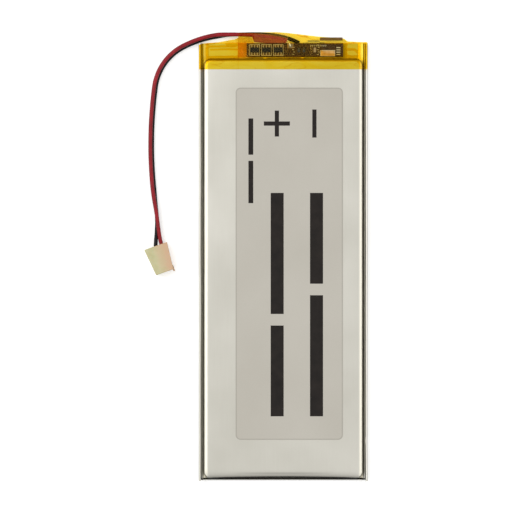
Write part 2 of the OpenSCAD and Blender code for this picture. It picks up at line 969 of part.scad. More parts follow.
// One crimp contact in the plug's frame: insulation grip, wire barrel and box contact.
module crimp_contact(x) {
    barrel_end = sleeve_end + barrel_l;
    translate([x, 0, plug_mid_z])
        rotate([90, 0, 0]) {
            translate([0, 0, sleeve_end - grip_l])
                linear_extrude(grip_l)
                    ring(lead_r + grip_t, lead_r);
            translate([0, 0, sleeve_end])
                linear_extrude(barrel_l)
                    ring(lead_r + grip_t, core_r_lead + core_gap);
            translate([0, 0, barrel_end])
                linear_extrude(contact_l)
                    difference() {
                        square(contact_outer, center = true);
                        square(contact_inner, center = true);
                    }
        }
}

module crimp_terminals() {
    color(nickel_colour)
        at_plug()
            for (x = [0, plug_pitch])
                crimp_contact(x);
}

// One position: a channel that is wider at the rear.
module plug_cavity(x) {
    low = plug_mid_z - cavity_h / 2;
    high = plug_mid_z + cavity_h / 2;
    box(x - cavity_w / 2, x + cavity_w / 2, -plug_l - past_end, past_end, low, high);
    box(x - rear_cavity_w / 2, x + rear_cavity_w / 2, -rear_cavity_l, past_end, low, high);
}

// The opening on the back, over the crimp in the middle position.
module crimp_window() {
    box(-crimp_window_w / 2, crimp_window_w / 2, -crimp_window_l, past_end, -past_end, plug_mid_z);
}

// The plug's body has three positions; the one away from the cell is empty.
module plug_housing() {
    color([0.86, 0.83, 0.68])
        at_plug()
            difference() {
                union() {
                    linear_extrude(plug_t)
                        polygon([
                            [-plug_w / 2, 0], [plug_w / 2, 0],
                            [plug_nose_w / 2, -plug_l], [-plug_nose_w / 2, -plug_l]
                        ]);
                    box(plug_nose_w / 2 + plug_key_proud[0] - plug_key_w,
                        plug_nose_w / 2 + plug_key_proud[0],
                        -plug_l - plug_key_proud[1], -plug_l + plug_key_lap,
                        plug_mid_z - plug_key_h / 2, plug_mid_z + plug_key_h / 2);
                }
                for (x = [-plug_pitch, 0, plug_pitch])
                    plug_cavity(x);
                crimp_window();
            }
}

pouch_lid();
pouch_cup();
cathode_foil();
anode_foil();
separator_inner();
separator_outer();
roll_closing_tape();
positive_tab();
negative_tab();
tab_seal_films();
tab_weld_tapes();
insulating_paper();
nickel_strips();
circuit_board();
board_pads();
protection_ic();
mosfets();
chip_resistors();
chip_capacitor();
solder_joints();
edge_insulator();
head_tape();
board_tape_strip();
corner_tape_strip();
label();
label_print();
red_lead_root();
black_lead_root();
lead_cores_root();
red_lead_upper();
black_lead_upper();
lead_cores_upper();
red_lead_bend();
black_lead_bend();
lead_cores_bend();
red_lead_lower();
black_lead_lower();
lead_cores_lower();
red_lead_end();
black_lead_end();
lead_cores_end();
crimp_terminals();
plug_housing();
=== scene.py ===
import json
import math

import bpy
import numpy as np
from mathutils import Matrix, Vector


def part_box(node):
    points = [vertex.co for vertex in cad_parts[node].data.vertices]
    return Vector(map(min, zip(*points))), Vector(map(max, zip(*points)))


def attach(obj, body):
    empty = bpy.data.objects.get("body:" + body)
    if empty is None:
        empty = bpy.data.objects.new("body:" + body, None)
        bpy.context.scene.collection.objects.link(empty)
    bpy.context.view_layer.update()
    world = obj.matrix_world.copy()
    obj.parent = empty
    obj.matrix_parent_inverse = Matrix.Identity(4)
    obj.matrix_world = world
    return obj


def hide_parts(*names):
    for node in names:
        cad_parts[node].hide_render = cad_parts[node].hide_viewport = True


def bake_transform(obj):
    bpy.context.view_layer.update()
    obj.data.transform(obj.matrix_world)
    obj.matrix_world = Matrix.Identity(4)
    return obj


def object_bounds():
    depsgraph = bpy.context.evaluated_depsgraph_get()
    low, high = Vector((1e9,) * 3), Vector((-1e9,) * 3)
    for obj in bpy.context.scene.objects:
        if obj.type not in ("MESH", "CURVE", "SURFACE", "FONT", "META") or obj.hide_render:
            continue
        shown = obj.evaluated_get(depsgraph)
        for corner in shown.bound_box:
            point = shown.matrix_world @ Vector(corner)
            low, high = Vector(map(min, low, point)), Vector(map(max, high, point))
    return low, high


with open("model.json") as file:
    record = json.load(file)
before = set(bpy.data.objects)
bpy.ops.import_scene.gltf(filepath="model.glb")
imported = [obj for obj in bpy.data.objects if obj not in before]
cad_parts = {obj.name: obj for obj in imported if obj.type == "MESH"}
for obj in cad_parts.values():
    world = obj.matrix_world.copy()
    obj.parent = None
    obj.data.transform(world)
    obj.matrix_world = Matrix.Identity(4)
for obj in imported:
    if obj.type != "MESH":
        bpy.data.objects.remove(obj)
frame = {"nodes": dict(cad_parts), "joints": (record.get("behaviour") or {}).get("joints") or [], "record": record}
cad_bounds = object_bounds()

# Lengths in this script are in millimetres. MM turns them into Blender's metres.
MM = 0.001


def box_mm(node):
    """A CAD node's lowest and highest corners."""
    low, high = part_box(node)
    return np.array(low) / MM, np.array(high) / MM


def joint_point(name):
    """Where a joint's axis passes through the plane that the cell lies in."""
    joint = next(j for j in frame["joints"] if j["name"] == name)
    return np.array(joint["pos_m"][:2]) / MM


# ---- Places taken from the frame ----

lid_low, lid_high = box_mm("pouch_lid")
tape_low, tape_high = box_mm("head_tape")
board_low, board_high = box_mm("circuit_board")
red_low, red_high = box_mm("red_lead_root")
black_low, black_high = box_mm("black_lead_root")

HALF_W = lid_high[0]
BOTTOM_Y = lid_low[1]
END_Y = lid_high[1]
TOP_Z = box_mm("pouch_cup")[1][2]
CREST_Z = lid_high[2]

# The film, and the parts of the pouch that are made of it.
FILM_T = 0.15
SEAL_ZONE = 1.6
BORDER_W = 3.1
BORDER_RISE = 0.47
TERRACE_L = 5.0
TERRACE_Z = 0.43
CUP_HALF_W = HALF_W - SEAL_ZONE
CUP_END = END_Y - TERRACE_L
FLAT_HALF_W = HALF_W - BORDER_W

# The drawn cup's rounded edges.
EDGE_R = 1.3
BOTTOM_EDGE_R = 2.4
CORNER_R = 2.4
BOTTOM_FOLD = 0.4
BOTTOM_BOW = 0.45

# The folded side seal.
GROOVE_RISE = 0.5
HEM_BEND_R = 0.6
HEM_CREST_R = 0.2
HEM_DROP = 1.6

TAPE_T = 0.05
TAPE_FRONT_Y = tape_low[1] + 0.2
TAPE_BACK_Y = tape_low[1]
TAPE_BACK_Z = tape_low[2]
HEAD_RISE = TAPE_BACK_Z + 0.06
EXIT_X = box_mm("board_tape_strip")[0][0]

LEAD_R = 0.65
RED_Z = (red_low[2] + red_high[2]) / 2
BLACK_Z = (black_low[2] + black_high[2]) / 2


def outline_mm(node):
    """The X and Y of every vertex of a CAD node."""
    return np.array([v.co[:2] for v in frame["nodes"][node].data.vertices]) / MM


def plug_axes():
    """The plug's first position at its rear, the ways to its nose and across it, and its pitch."""
    mount = next(m for m in frame["record"]["mounts"] if m["name"] == "plug_mating_face")
    nose = np.array(mount["axis"][:2])
    across = np.array([-nose[1], nose[0]])
    mate = np.array(mount["pos_m"][:2]) / MM
    rear = ((outline_mm("plug_housing") - mate) @ nose).min()
    spread = (outline_mm("crimp_terminals") - mate) @ across
    contact_half_w = LEAD_R + 0.1
    half_pitch = (spread.max() - spread.min()) / 2 - contact_half_w
    first = mate + rear * nose - half_pitch * across
    return first, nose, across, 2 * half_pitch


# ---- Mesh code ----

def add_mesh(name, points, faces, material, smooth=True):
    mesh = bpy.data.meshes.new(name)
    mesh.from_pydata([tuple(p) for p in np.asarray(points) * MM], [], faces)
    mesh.validate()
    mesh.materials.append(material)
    if smooth:
        mesh.shade_smooth()
        mesh.set_sharp_from_angle(angle=math.radians(50))
    piece = bpy.data.objects.new(name, mesh)
    bpy.context.scene.collection.objects.link(piece)
    return piece


def joined(parts):
    """One list of points and faces made from several."""
    points, faces = [], []
    for part_points, part_faces in parts:
        start = sum(len(p) for p in points)
        points.append(np.asarray(part_points, float))
        faces += [tuple(start + i for i in face) for face in part_faces]
    return np.concatenate(points), faces


def vertex_normals(points, faces):
    normals = np.zeros_like(points)
    for face in faces:
        a, b, c = points[face[0]], points[face[1]], points[face[-1]]
        normal = np.cross(b - a, c - a)
        for i in face:
            normals[i] += normal
    length = np.linalg.norm(normals, axis=1, keepdims=True)
    return normals / np.maximum(length, 1e-12)


def thickened(points, faces, thickness):
    """A closed skin: the given surface, and a copy of it on its inner side."""
    points = np.asarray(points, float)
    count = len(points)
    inner = points - thickness * vertex_normals(points, faces)
    edges = {}
    for face in faces:
        for a, b in zip(face, face[1:] + face[:1]):
            edges[(a, b)] = True
    rim = [(b, a, a + count, b + count) for a, b in edges if (b, a) not in edges]
    back = [tuple(count + i for i in reversed(face)) for face in faces]
    return np.concatenate([points, inner]), list(faces) + back + rim


def grid_faces(rows, columns, flip=False):
    faces = []
    for i in range(rows - 1):
        for j in range(columns - 1):
            a = i * columns + j
            face = (a, a + 1, a + columns + 1, a + columns)
            faces.append(face[::-1] if flip else face)
    return faces


def ring_faces(rings, count, flip=False):
    """Faces between closed rings that all have the same number of points."""
    faces = []
    for k in range(rings - 1):
        for i in range(count):
            ends = (k * count + i, k * count + (i + 1) % count)
            a, b = ends[::-1] if flip else ends
            faces.append((a, b, b + count, a + count))
    return faces


def skin(rows, thickness, flip=False):
    """A closed skin over rows of points that all have the same length."""
    return thickened(np.concatenate(rows), grid_faces(len(rows), len(rows[0]), flip), thickness)


def sheet_rows(x, y, height):
    """Rows of points over a rectangle, at the height that a function of X and Y gives."""
    grid_y, grid_x = np.meshgrid(y, x, indexing="ij")
    return np.stack([grid_x, grid_y, height(grid_x, grid_y)], axis=2)


def arc(centre, radius, start, end, steps):
    angles = np.radians(np.linspace(start, end, steps + 1))
    return np.stack([centre[0] + radius * np.cos(angles), centre[1] + radius * np.sin(angles)], axis=1)


def unit_rows(vectors):
    return vectors / np.linalg.norm(vectors, axis=1, keepdims=True)


def offset_path(path, distance):
    """A 2-D path moved sideways, to the right of its direction."""
    tangent = unit_rows(np.gradient(path, axis=0))
    return path + distance * np.stack([tangent[:, 1], -tangent[:, 0]], axis=1)


def waves(x, y, scale, seed):
    """Smooth hills between -1 and 1, made from a few sines with seeded directions."""
    chance = np.random.default_rng(seed)
    total = np.zeros_like(np.asarray(x, float) + np.asarray(y, float))
    for _ in range(6):
        angle, phase = chance.uniform(0, 2 * math.pi, 2)
        size = scale * chance.uniform(0.6, 1.7)
        along = x * math.cos(angle) + y * math.sin(angle)
        total = total + np.sin(along * 2 * math.pi / size + phase)
    return total / 6


def smooth_step(x, low, high):
    t = np.clip((np.asarray(x, float) - low) / (high - low), 0, 1)
    return t * t * (3 - 2 * t)


def line_distance(x, y, line):
    """Distance in the plane from each point to a line of several straight lengths."""
    best = np.full(np.shape(x), 1e9)
    for (x0, y0), (x1, y1) in zip(line, line[1:]):
        dx, dy = x1 - x0, y1 - y0
        t = np.clip(((x - x0) * dx + (y - y0) * dy) / (dx * dx + dy * dy), 0, 1)
        best = np.minimum(best, np.hypot(x - x0 - t * dx, y - y0 - t * dy))
    return best


# ---- Material nodes ----

class Field:
    """A number that changes over a surface. It stands for a node's output, and adds and compares."""

    def __init__(self, tree, socket):
        self.tree = tree
        self.socket = socket

    def __add__(self, other):
        return calc("ADD", self, other)

    def __sub__(self, other):
        return calc("SUBTRACT", self, other)

    def __rsub__(self, other):
        return calc("SUBTRACT", other, self)

    def __mul__(self, other):
        return calc("MULTIPLY", self, other)

    def __truediv__(self, other):
        return calc("DIVIDE", self, other)

    def __pow__(self, power):
        return calc("POWER", self, power)

    def __abs__(self):
        return calc("ABSOLUTE", self)

    def __gt__(self, other):
        return calc("GREATER_THAN", self, other)

    def __lt__(self, other):
        return calc("LESS_THAN", self, other)


def add_node(tree, kind, inputs=None, **settings):
    """Makes a shader node. Each input is a field, another node's output or a plain value."""
    made = tree.nodes.new("ShaderNode" + kind)
    for key, value in settings.items():
        setattr(made, key, value)
    for key, value in (inputs or {}).items():
        if isinstance(value, Field):
            value = value.socket
        if isinstance(value, bpy.types.NodeSocket):
            tree.links.new(value, made.inputs[key])
        else:
            made.inputs[key].default_value = value
    return made


def calc(operation, a, b=0.0):
    tree = a.tree if isinstance(a, Field) else b.tree
    return Field(tree, add_node(tree, "Math", {0: a, 1: b}, operation=operation).outputs[0])


def largest(a, b):
    return calc("MAXIMUM", a, b)


def inside(field, low, high):
    """1 where a field lies between low and high, and 0 elsewhere."""
    return (field > low) * (field < high)


def stretched(field, from_low, from_high, low, high):
    """A field moved from one range to another, and held at the ends of it."""
    inputs = {"Value": field, "From Min": from_low, "From Max": from_high, "To Min": low, "To Max": high}
    return Field(field.tree, add_node(field.tree, "MapRange", inputs).outputs[0])


def between(field, low, high):
    """A noise spread from low to high. A noise seldom leaves 0.3 to 0.7."""
    return stretched(field, 0.3, 0.7, low, high)


def mixed(factor, low, high):
    """A colour between two others. Each of them is a colour or a node's output."""
    ends = [end if isinstance(end, bpy.types.NodeSocket) else (*end, 1) for end in (low, high)]
    inputs = {0: factor, 6: ends[0], 7: ends[1]}
    return add_node(factor.tree, "Mix", inputs, data_type="RGBA", clamp_factor=True).outputs[2]


def toned(field, dark, light):
    """A colour that goes from dark to light with a noise."""
    return mixed(between(field, 0.0, 1.0), dark, light)


def new_material(name):
    material = bpy.data.materials.new(name)
    material.use_nodes = True
    material.node_tree.nodes.clear()
    return material, material.node_tree


def place_mm(tree, stretch=(1, 1, 1)):
    """The shaded point's place in millimetres, divided by stretch along each axis."""
    where = add_node(tree, "TexCoord")
    scale = tuple(1 / MM / s for s in stretch)
    return add_node(tree, "Mapping", {"Vector": where.outputs["Object"], "Scale": scale}).outputs[0]


def axes(tree, vector):
    """The X, Y and Z of a vector, as fields."""
    split = add_node(tree, "SeparateXYZ", {"Vector": vector})
    return [Field(tree, part) for part in split.outputs]


def noise(tree, size, detail=3.0, distortion=0.0, stretch=(1, 1, 1)):
    """A noise between 0 and 1 with spots of about the given size, in millimetres."""
    inputs = {
        "Vector": place_mm(tree, stretch), "Scale": 1 / size, "Detail": detail, "Distortion": distortion
    }
    return Field(tree, add_node(tree, "TexNoise", inputs).outputs["Fac"])


def bump(height, depth_mm):
    inputs = {"Height": height, "Distance": depth_mm * MM, "Strength": 1.0}
    return add_node(height.tree, "Bump", inputs).outputs[0]


def surface(tree, **inputs):
    named = {key.replace("_", " "): value for key, value in inputs.items()}
    return add_node(tree, "BsdfPrincipled", named).outputs[0]


def mixed_shader(tree, factor, low, high):
    return add_node(tree, "MixShader", {0: factor, 1: low, 2: high}).outputs[0]


def output(tree, shader):
    add_node(tree, "OutputMaterial", {"Surface": shader})


def finished(material, **inputs):
    """The material, with one plain surface over all of it."""
    output(material.node_tree, surface(material.node_tree, **inputs))
    return material


# ---- Film ----

def bow(x, reach):
    """1 in the middle of the cell, and 0 at the given distance to either side of it."""
    share = x / reach
    return largest(1.0 - share * share, 0.0)


def painted_front_shade(from_middle, y, z):
    """Painted shade on the front film: near black in the side grooves and in the gap at the bottom fold, and a
    soft painted shade band above that.
    """
    hem_inner = HALF_W - FILM_T - 2 * HEM_CREST_R - 0.1
    # Painted shade in the side grooves, lighter in their middle.
    groove = inside(from_middle, CUP_HALF_W + 0.1, hem_inner)
    groove_middle = inside(from_middle, CUP_HALF_W + 0.35, CUP_HALF_W + 0.7)
    groove = (groove - groove_middle * 0.6) * inside(z, 0.35, 2.2)
    # Painted shade along the gap at the bottom fold, bowed like the cup's edge.
    bowed_y = y - bow(from_middle, CUP_HALF_W) * 0.7
    fold = inside(bowed_y, BOTTOM_Y + 0.1, BOTTOM_Y + 0.68) * (from_middle < CUP_HALF_W)
    fold = fold * inside(z, 0.16, 2.9)
    # A soft painted shade band above the fold, strongest in the middle.
    from_band = abs(y - (BOTTOM_Y + 2.3))
    band = largest(0.5 - from_band, 0.0) * bow(from_middle, 17.0) * 0.6
    return largest(largest(groove, fold), band)


def back_painted_shading(clean, from_middle, y):
    """The back film's colour: painted reflections and shade in bands where it curls at the bottom, a paler painted
    sheen on the side borders, and a painted dark line near the rim.
    """
    border = inside(from_middle, FLAT_HALF_W + 0.3, HALF_W - 0.75)
    rim = inside(from_middle, HALF_W - 0.62, HALF_W - 0.34)
    # Painted sheen on the sloping side borders, and a painted shade line near the rim.
    colour = mixed(border * 0.8, clean, (0.80, 0.78, 0.66))
    colour = mixed(rim * 0.85, colour, (0.04, 0.038, 0.036))
    # Painted reflections and shade where the film curls at the bottom: light, black, brown and dark bands.
    narrowing = largest(from_middle - (FLAT_HALF_W - 6.5), 0.0) * 0.105
    curl_height = (1.0 - narrowing) * 2.1 + 0.1
    up_the_curl = (y - BOTTOM_Y) / curl_height
    curl_shading = add_node(y.tree, "ValToRGB", {"Fac": up_the_curl})
    stops = curl_shading.color_ramp.elements
    for at, shade in (
        (0.30, (0.24, 0.22, 0.26)), (0.38, (0.012, 0.010, 0.012)), (0.56, (0.014, 0.012, 0.012)),
        (0.64, (0.16, 0.14, 0.11)), (0.80, (0.15, 0.13, 0.10)), (0.86, (0.025, 0.022, 0.016)),
        (0.96, (0.03, 0.028, 0.02))
    ):
        stops.new(at).color = (*shade, 1)
    stops[0].color = (0.34, 0.32, 0.36, 1)
    stops[-1].color = (0.40, 0.38, 0.32, 1)
    return mixed(up_the_curl < 1.0, colour, curl_shading.outputs["Color"])


def film_material():
    """Satin aluminium laminate: faint rolling lines, a fine pebble and slow changes of tone, with painted
    highlights, painted shade and painted reflections in its colour.
    """
    material, tree = new_material("laminate_film")
    slow = noise(tree, 26)
    lines = noise(tree, 0.5, stretch=(1, 30, 1))
    pebble = noise(tree, 0.35, 2.0)
    clean = toned(slow * 0.8 + lines * 0.2, (0.575, 0.56, 0.50), (0.63, 0.615, 0.56))
    x, y, z = axes(tree, place_mm(tree))
    from_middle = abs(x)
    # Painted highlight: the film is paler along the cup's rounded side edges.
    film_side_highlight = inside(from_middle, CUP_HALF_W - 1.3, CUP_HALF_W + 0.1)
    front = mixed(film_side_highlight * 0.7, clean, (0.82, 0.79, 0.68))
    # Painted shade: near black in the side grooves and at the bottom fold, and a soft darker band above that.
    front = mixed(painted_front_shade(from_middle, y, z), front, (0.03, 0.028, 0.022))
    normal = add_node(tree, "NewGeometry").outputs["Normal"]
    faces_back = axes(tree, normal)[2] < -0.1
    return finished(
        material, Base_Color=mixed(faces_back, front, back_painted_shading(clean, from_middle, y)), Metallic=0.92,
        Roughness=between(slow, 0.3, 0.38), Normal=bump(pebble * 0.5 + lines, 0.006)
    )


# ---- Other materials ----

def tape_material(name, dark, light):
    """Clear amber film: it tints what is behind it, and shines where it is creased. Its tint also holds a painted
    highlight over the cup's sides and painted shadow lines on the back.
    """
    material, tree = new_material(name)
    slow = noise(tree, 3, 2.0, 0.6, (3, 1, 1))
    wrinkle = noise(tree, 1.2, 3.0, 1.2, (4, 1, 1))
    folds = noise(tree, 2.6, 0.6, 0.8, (5, 1, 1))
    crease = abs(folds - 0.5) < 0.009
    x, y, z = axes(tree, place_mm(tree))

    # Its own tint, then the free edge past the terrace, and two wavy darker lines on the back, which are painted
    # shadow lines.
    tint = mixed(crease * 0.5, toned(slow, dark, light), (0.86, 0.62, 0.10))
    tint = mixed(y > END_Y + 0.15, tint, mixed(crease, (0.97, 0.915, 0.56), (0.90, 0.76, 0.30)))
    wavy_y = y + slow * 0.8
    # Painted shadow: two darker wavy lines on the back layer.
    shadow_lines = inside(wavy_y, END_Y - 4.95, END_Y - 4.65) + inside(wavy_y, END_Y - 0.95, END_Y - 0.7)
    tint = mixed(shadow_lines * (z < 0.3) * 0.6, tint, (0.74, 0.46, 0.08))

    # It is clearest where it is pressed on the board and the leads. Over the cup's sides it is paler, a painted
    # highlight where it bends over the edge.
    over_board = inside(x, board_low[0], board_high[0]) * inside(y, board_low[1] + 0.2, board_high[1])
    over_leads = inside(x, board_low[0] + 2.4, 1.6) * inside(y, board_high[1], END_Y + 3.1)
    tint = mixed(largest(over_board, over_leads) * (z > board_high[2]), tint, (0.985, 0.93, 0.72))
    # Painted highlight: a paler tint along the cup's side edges.
    tape_side_highlight = inside(abs(x), CUP_HALF_W - 0.8, CUP_HALF_W + 0.2) * (z > 0.6)
    tint = mixed(tape_side_highlight * 0.7, tint, (0.99, 0.94, 0.68))

    clear = add_node(tree, "BsdfTransparent", {"Color": tint}).outputs[0]
    gloss = surface(
        tree, Base_Color=(0.95, 0.58, 0.10, 1), Metallic=1.0, Roughness=0.13, Normal=bump(wrinkle, 0.05)
    )
    output(tree, mixed_shader(tree, over_leads * 0.05 + 0.014, clear, gloss))
    return material


def plastic_material(name, dark, light, roughness, grain=0.6, **more):
    """Moulded or painted plastic with a little tone and grain."""
    material, tree = new_material(name)
    tone = noise(tree, grain * 6)
    fine = noise(tree, grain * 0.4, 4.0)
    return finished(
        material, Base_Color=toned(tone, dark, light), Normal=bump(fine, 0.01),
        Roughness=between(fine, roughness - 0.06, roughness + 0.06), **more
    )


def metal_material(name, dark, light, roughness, stretch=(1, 1, 1), grain=0.4):
    """Bare metal with drawn or rolled lines along the stretched axis."""
    material, tree = new_material(name)
    tone = noise(tree, grain * 4, stretch=stretch)
    lines = noise(tree, grain, 4.0, stretch=stretch)
    return finished(
        material, Base_Color=toned(tone, dark, light), Metallic=1.0, Normal=bump(lines, 0.006),
        Roughness=between(lines, roughness - 0.08, roughness + 0.08)
    )


def package_material():
    """Black moulding with tinned leads, which stand out past the body on both sides."""
    body_half_w = 0.82
    material, tree = new_material("chip_package")
    y = axes(tree, place_mm(tree))[1]
    lead = abs(y - (board_low[1] + board_high[1]) / 2) > body_half_w
    fine = noise(tree, 0.12, 4.0)
    moulding = toned(fine, (0.010, 0.010, 0.010), (0.02, 0.02, 0.019))
    return finished(
        material, Base_Color=mixed(lead, moulding, (0.34, 0.31, 0.24)), Metallic=lead,
        Roughness=between(fine, 0.5, 0.65), Specular_IOR_Level=0.08, Normal=bump(fine, 0.008)
    )


def board_material():
    """Dark solder mask with the faint relief of copper tracks under it."""
    material, tree = new_material("board_mask")
    inputs = {"Vector": place_mm(tree), "Scale": 0.9}
    cells = add_node(tree, "TexVoronoi", inputs, distance="MANHATTAN")
    tracks = Field(tree, cells.outputs["Distance"]) > 0.45
    mask = toned(noise(tree, 1.6), (0.022, 0.010, 0.004), (0.038, 0.020, 0.008))
    return finished(
        material, Base_Color=mixed(tracks, mask, (0.044, 0.022, 0.009)), Roughness=0.5,
        Specular_IOR_Level=0.15, Normal=bump(tracks, 0.02)
    )


def label_material(node):
    """Warm grey label paper with a thin darker line round its rounded edge."""
    low, high = box_mm(node)
    corner_r, line_w = 1.6, 0.35
    material, tree = new_material("label_paper")
    past = []
    for axis, value in enumerate(axes(tree, place_mm(tree))[:2]):
        middle = (low[axis] + high[axis]) / 2
        half = (high[axis] - low[axis]) / 2 - corner_r
        past.append(largest(abs(value - middle) - half, 0.0))
    from_corner = calc("SQRT", past[0] * past[0] + past[1] * past[1])
    edge = from_corner > corner_r - line_w
    slow = noise(tree, 30)
    fibre = noise(tree, 0.25, 4.0)
    paper_colour = toned(slow * 0.7 + fibre * 0.3, (0.455, 0.43, 0.375), (0.51, 0.485, 0.43))
    return finished(
        material, Base_Color=mixed(edge * 0.4, paper_colour, (0.24, 0.225, 0.19)),
        Roughness=between(slow, 0.42, 0.5), Normal=bump(fibre, 0.006)
    )


def nylon_material():
    """Natural nylon: greenish cream on one side, and warmer where the red lead shows through it."""
    material, tree = new_material("plug_nylon")
    first, _, across, pitch = plug_axes()
    slow = noise(tree, 2.5)
    fine = noise(tree, 0.3, 4.0)
    x, y = axes(tree, place_mm(tree))[:2]
    from_first = x * float(across[0]) + y * float(across[1]) - float(first @ across)
    warm = stretched(from_first + (slow - 0.5) * 3.0, -1.5, pitch + 0.5, 0.0, 1.0)
    cool_side = toned(slow, (0.50, 0.47, 0.25), (0.58, 0.55, 0.33))
    return finished(
        material, Base_Color=mixed(warm, cool_side, (0.60, 0.40, 0.25)), Roughness=between(fine, 0.34, 0.44),
        Subsurface_Weight=0.15, Subsurface_Radius=(1.0, 0.6, 0.3), Subsurface_Scale=MM,
        Normal=bump(fine, 0.01)
    )


film = film_material()
tape = tape_material("polyimide", (0.975, 0.81, 0.14), (0.99, 0.865, 0.24))
strip_tape = tape_material("polyimide_strip", (0.98, 0.87, 0.3), (0.995, 0.91, 0.42))
label_paper = label_material("label")
nylon = nylon_material()
board_mask = board_material()
packages = package_material()
ink = plastic_material("ink", (0.010, 0.008, 0.007), (0.018, 0.014, 0.012), 0.5, Specular_IOR_Level=0.15)
marks_white = plastic_material("board_marks_white", (0.5, 0.46, 0.36), (0.62, 0.58, 0.46), 0.55)
red_skin = plastic_material(
    "red_insulation", (0.22, 0.008, 0.013), (0.32, 0.014, 0.022), 0.3, Specular_IOR_Level=0.2
)
black_skin = plastic_material(
    "black_insulation", (0.004, 0.003, 0.004), (0.008, 0.006, 0.007), 0.36, Specular_IOR_Level=0.14
)
dark_sheet = plastic_material("chip_plastic", (0.06, 0.05, 0.022), (0.20, 0.08, 0.045), 0.55, 0.5)
glaze = plastic_material("resistor_glaze", (0.012, 0.012, 0.014), (0.024, 0.024, 0.027), 0.25)
ceramic = plastic_material("capacitor_ceramic", (0.26, 0.18, 0.10), (0.34, 0.25, 0.14), 0.5)
separator_film = plastic_material("separator", (0.82, 0.82, 0.80), (0.88, 0.88, 0.87), 0.6)
paper = plastic_material("paper", (0.60, 0.63, 0.49), (0.68, 0.70, 0.56), 0.7)
sealant = plastic_material("sealant", (0.80, 0.77, 0.66), (0.86, 0.83, 0.74), 0.4)
cathode = plastic_material("cathode_coating", (0.018, 0.018, 0.020), (0.035, 0.035, 0.04), 0.75)
anode = plastic_material("anode_coating", (0.030, 0.024, 0.020), (0.05, 0.04, 0.034), 0.75)
amber_tape = plastic_material("amber_tape", (0.62, 0.33, 0.02), (0.70, 0.40, 0.03), 0.25)
aluminium = metal_material("aluminium_tab", (0.78, 0.79, 0.80), (0.86, 0.86, 0.87), 0.28, (1, 12, 1))
nickel = metal_material("nickel", (0.58, 0.56, 0.50), (0.67, 0.65, 0.58), 0.25, (12, 1, 1))
gold = metal_material("gold_pads", (0.36, 0.19, 0.06), (0.62, 0.36, 0.12), 0.45, (1, 1, 1), 0.3)
solder = metal_material("solder", (0.12, 0.10, 0.075), (0.20, 0.17, 0.12), 0.45)
tin = metal_material("tinned_strands", (0.66, 0.62, 0.54), (0.78, 0.74, 0.66), 0.25)
tinned = metal_material("tinned_brass", (0.60, 0.57, 0.49), (0.70, 0.67, 0.60), 0.25, (1, 8, 1))


def place_piece(piece, node):
    """Lets a still piece stand for a CAD node."""
    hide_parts(node)
    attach(piece, "cell")


# ---- Pouch ----

HEM_LEG_POINTS = 5
EAR_L = 1.0
EAR_OUT = 0.35
CURL_L = 2.5
EDGE_CURL = 0.9
DENT = 0.012
HOLLOW = 0.022
TAB_RISE = 0.3


def seam_path():
    """Half of the side seal's section in X and Z: flat, border, up the side, over the crest and down."""
    seam_x = HALF_W - FILM_T
    crest_z = CREST_Z - FILM_T - HEM_CREST_R
    bend = arc((seam_x - HEM_BEND_R, FILM_T + BORDER_RISE + HEM_BEND_R), HEM_BEND_R, -80, 0, 7)
    border = np.linspace((FLAT_HALF_W, FILM_T), bend[0], 7)[:-1]
    wall = np.linspace(bend[-1], (seam_x, crest_z), 6)[1:-1]
    crest = arc((seam_x - HEM_CREST_R, crest_z), HEM_CREST_R, 0, 180, 8)
    leg_end = (seam_x - 2 * HEM_CREST_R, crest_z - HEM_DROP)
    leg = np.linspace(crest[-1], leg_end, HEM_LEG_POINTS + 1)[1:]
    return np.concatenate([border, bend, wall, crest, leg])


def stations():
    """Y places along the pouch, close together at the bottom fold and at the head."""
    curl_end, head = BOTTOM_Y + 3, END_Y - 10
    return np.concatenate([
        np.linspace(BOTTOM_Y, curl_end, 16)[:-1], np.linspace(curl_end, head, 80)[:-1],
        np.linspace(head, END_Y, 16)
    ])


def hem_wobble(y, side):
    """How far the folded seal leans in or out along the cell, with one small kink."""
    kink = np.exp(-((y - (BOTTOM_Y + 13)) / 1.1) ** 2) * (side > 0)
    return 0.06 * waves(y, 0 * y, 34, 5 + side) + 0.03 * waves(y, 0 * y, 9, 8 + side) - 0.12 * kink


def head_lift(y):
    """The back film rises a little under the tape at the head."""
    return HEAD_RISE * smooth_step(y, END_Y - 9.6, END_Y - 9.1)


def bottom_lift(y):
    """The back film curls up towards the bottom fold, and most of all at its very edge."""
    share = np.clip((BOTTOM_Y + CURL_L - y) / CURL_L, 0, 1)
    return BORDER_RISE * share + EDGE_CURL * np.clip((share - 0.72) / 0.28, 0, 1) ** 2


def film_section(y, inner):
    """The back film's section at y, or with inner set, the front film's seal against it."""
    path = seam_path() if inner else offset_path(seam_path(), FILM_T)
    leg = np.arange(len(path)) >= len(path) - HEM_LEG_POINTS
    sides = []
    for side in (1, -1):
        x, z = side * path[:, 0], path[:, 1]
        free = smooth_step(z, 0.9, 2.4)
        low = 1 - smooth_step(z, 0.35, 0.9)
        ear = np.clip((BOTTOM_Y + EAR_L - y) / EAR_L, 0, 1) * free
        x = x + hem_wobble(np.array(y), side) * free + side * 0.25 * ear * leg
        lift = head_lift(y) * (1 - smooth_step(np.abs(x), FLAT_HALF_W, HALF_W - 1.2))
        if inner:
            z = z + GROOVE_RISE * smooth_step(np.abs(x), CUP_HALF_W, HALF_W - 0.8) * low
        curl = bottom_lift(y) * (1 - smooth_step(np.abs(x), HALF_W - 1.6, HALF_W - 0.3))
        z = z + lift * low + curl * low
        sides.append(np.stack([x, np.full_like(x, y) - EAR_OUT * ear, z], axis=1))
    return sides


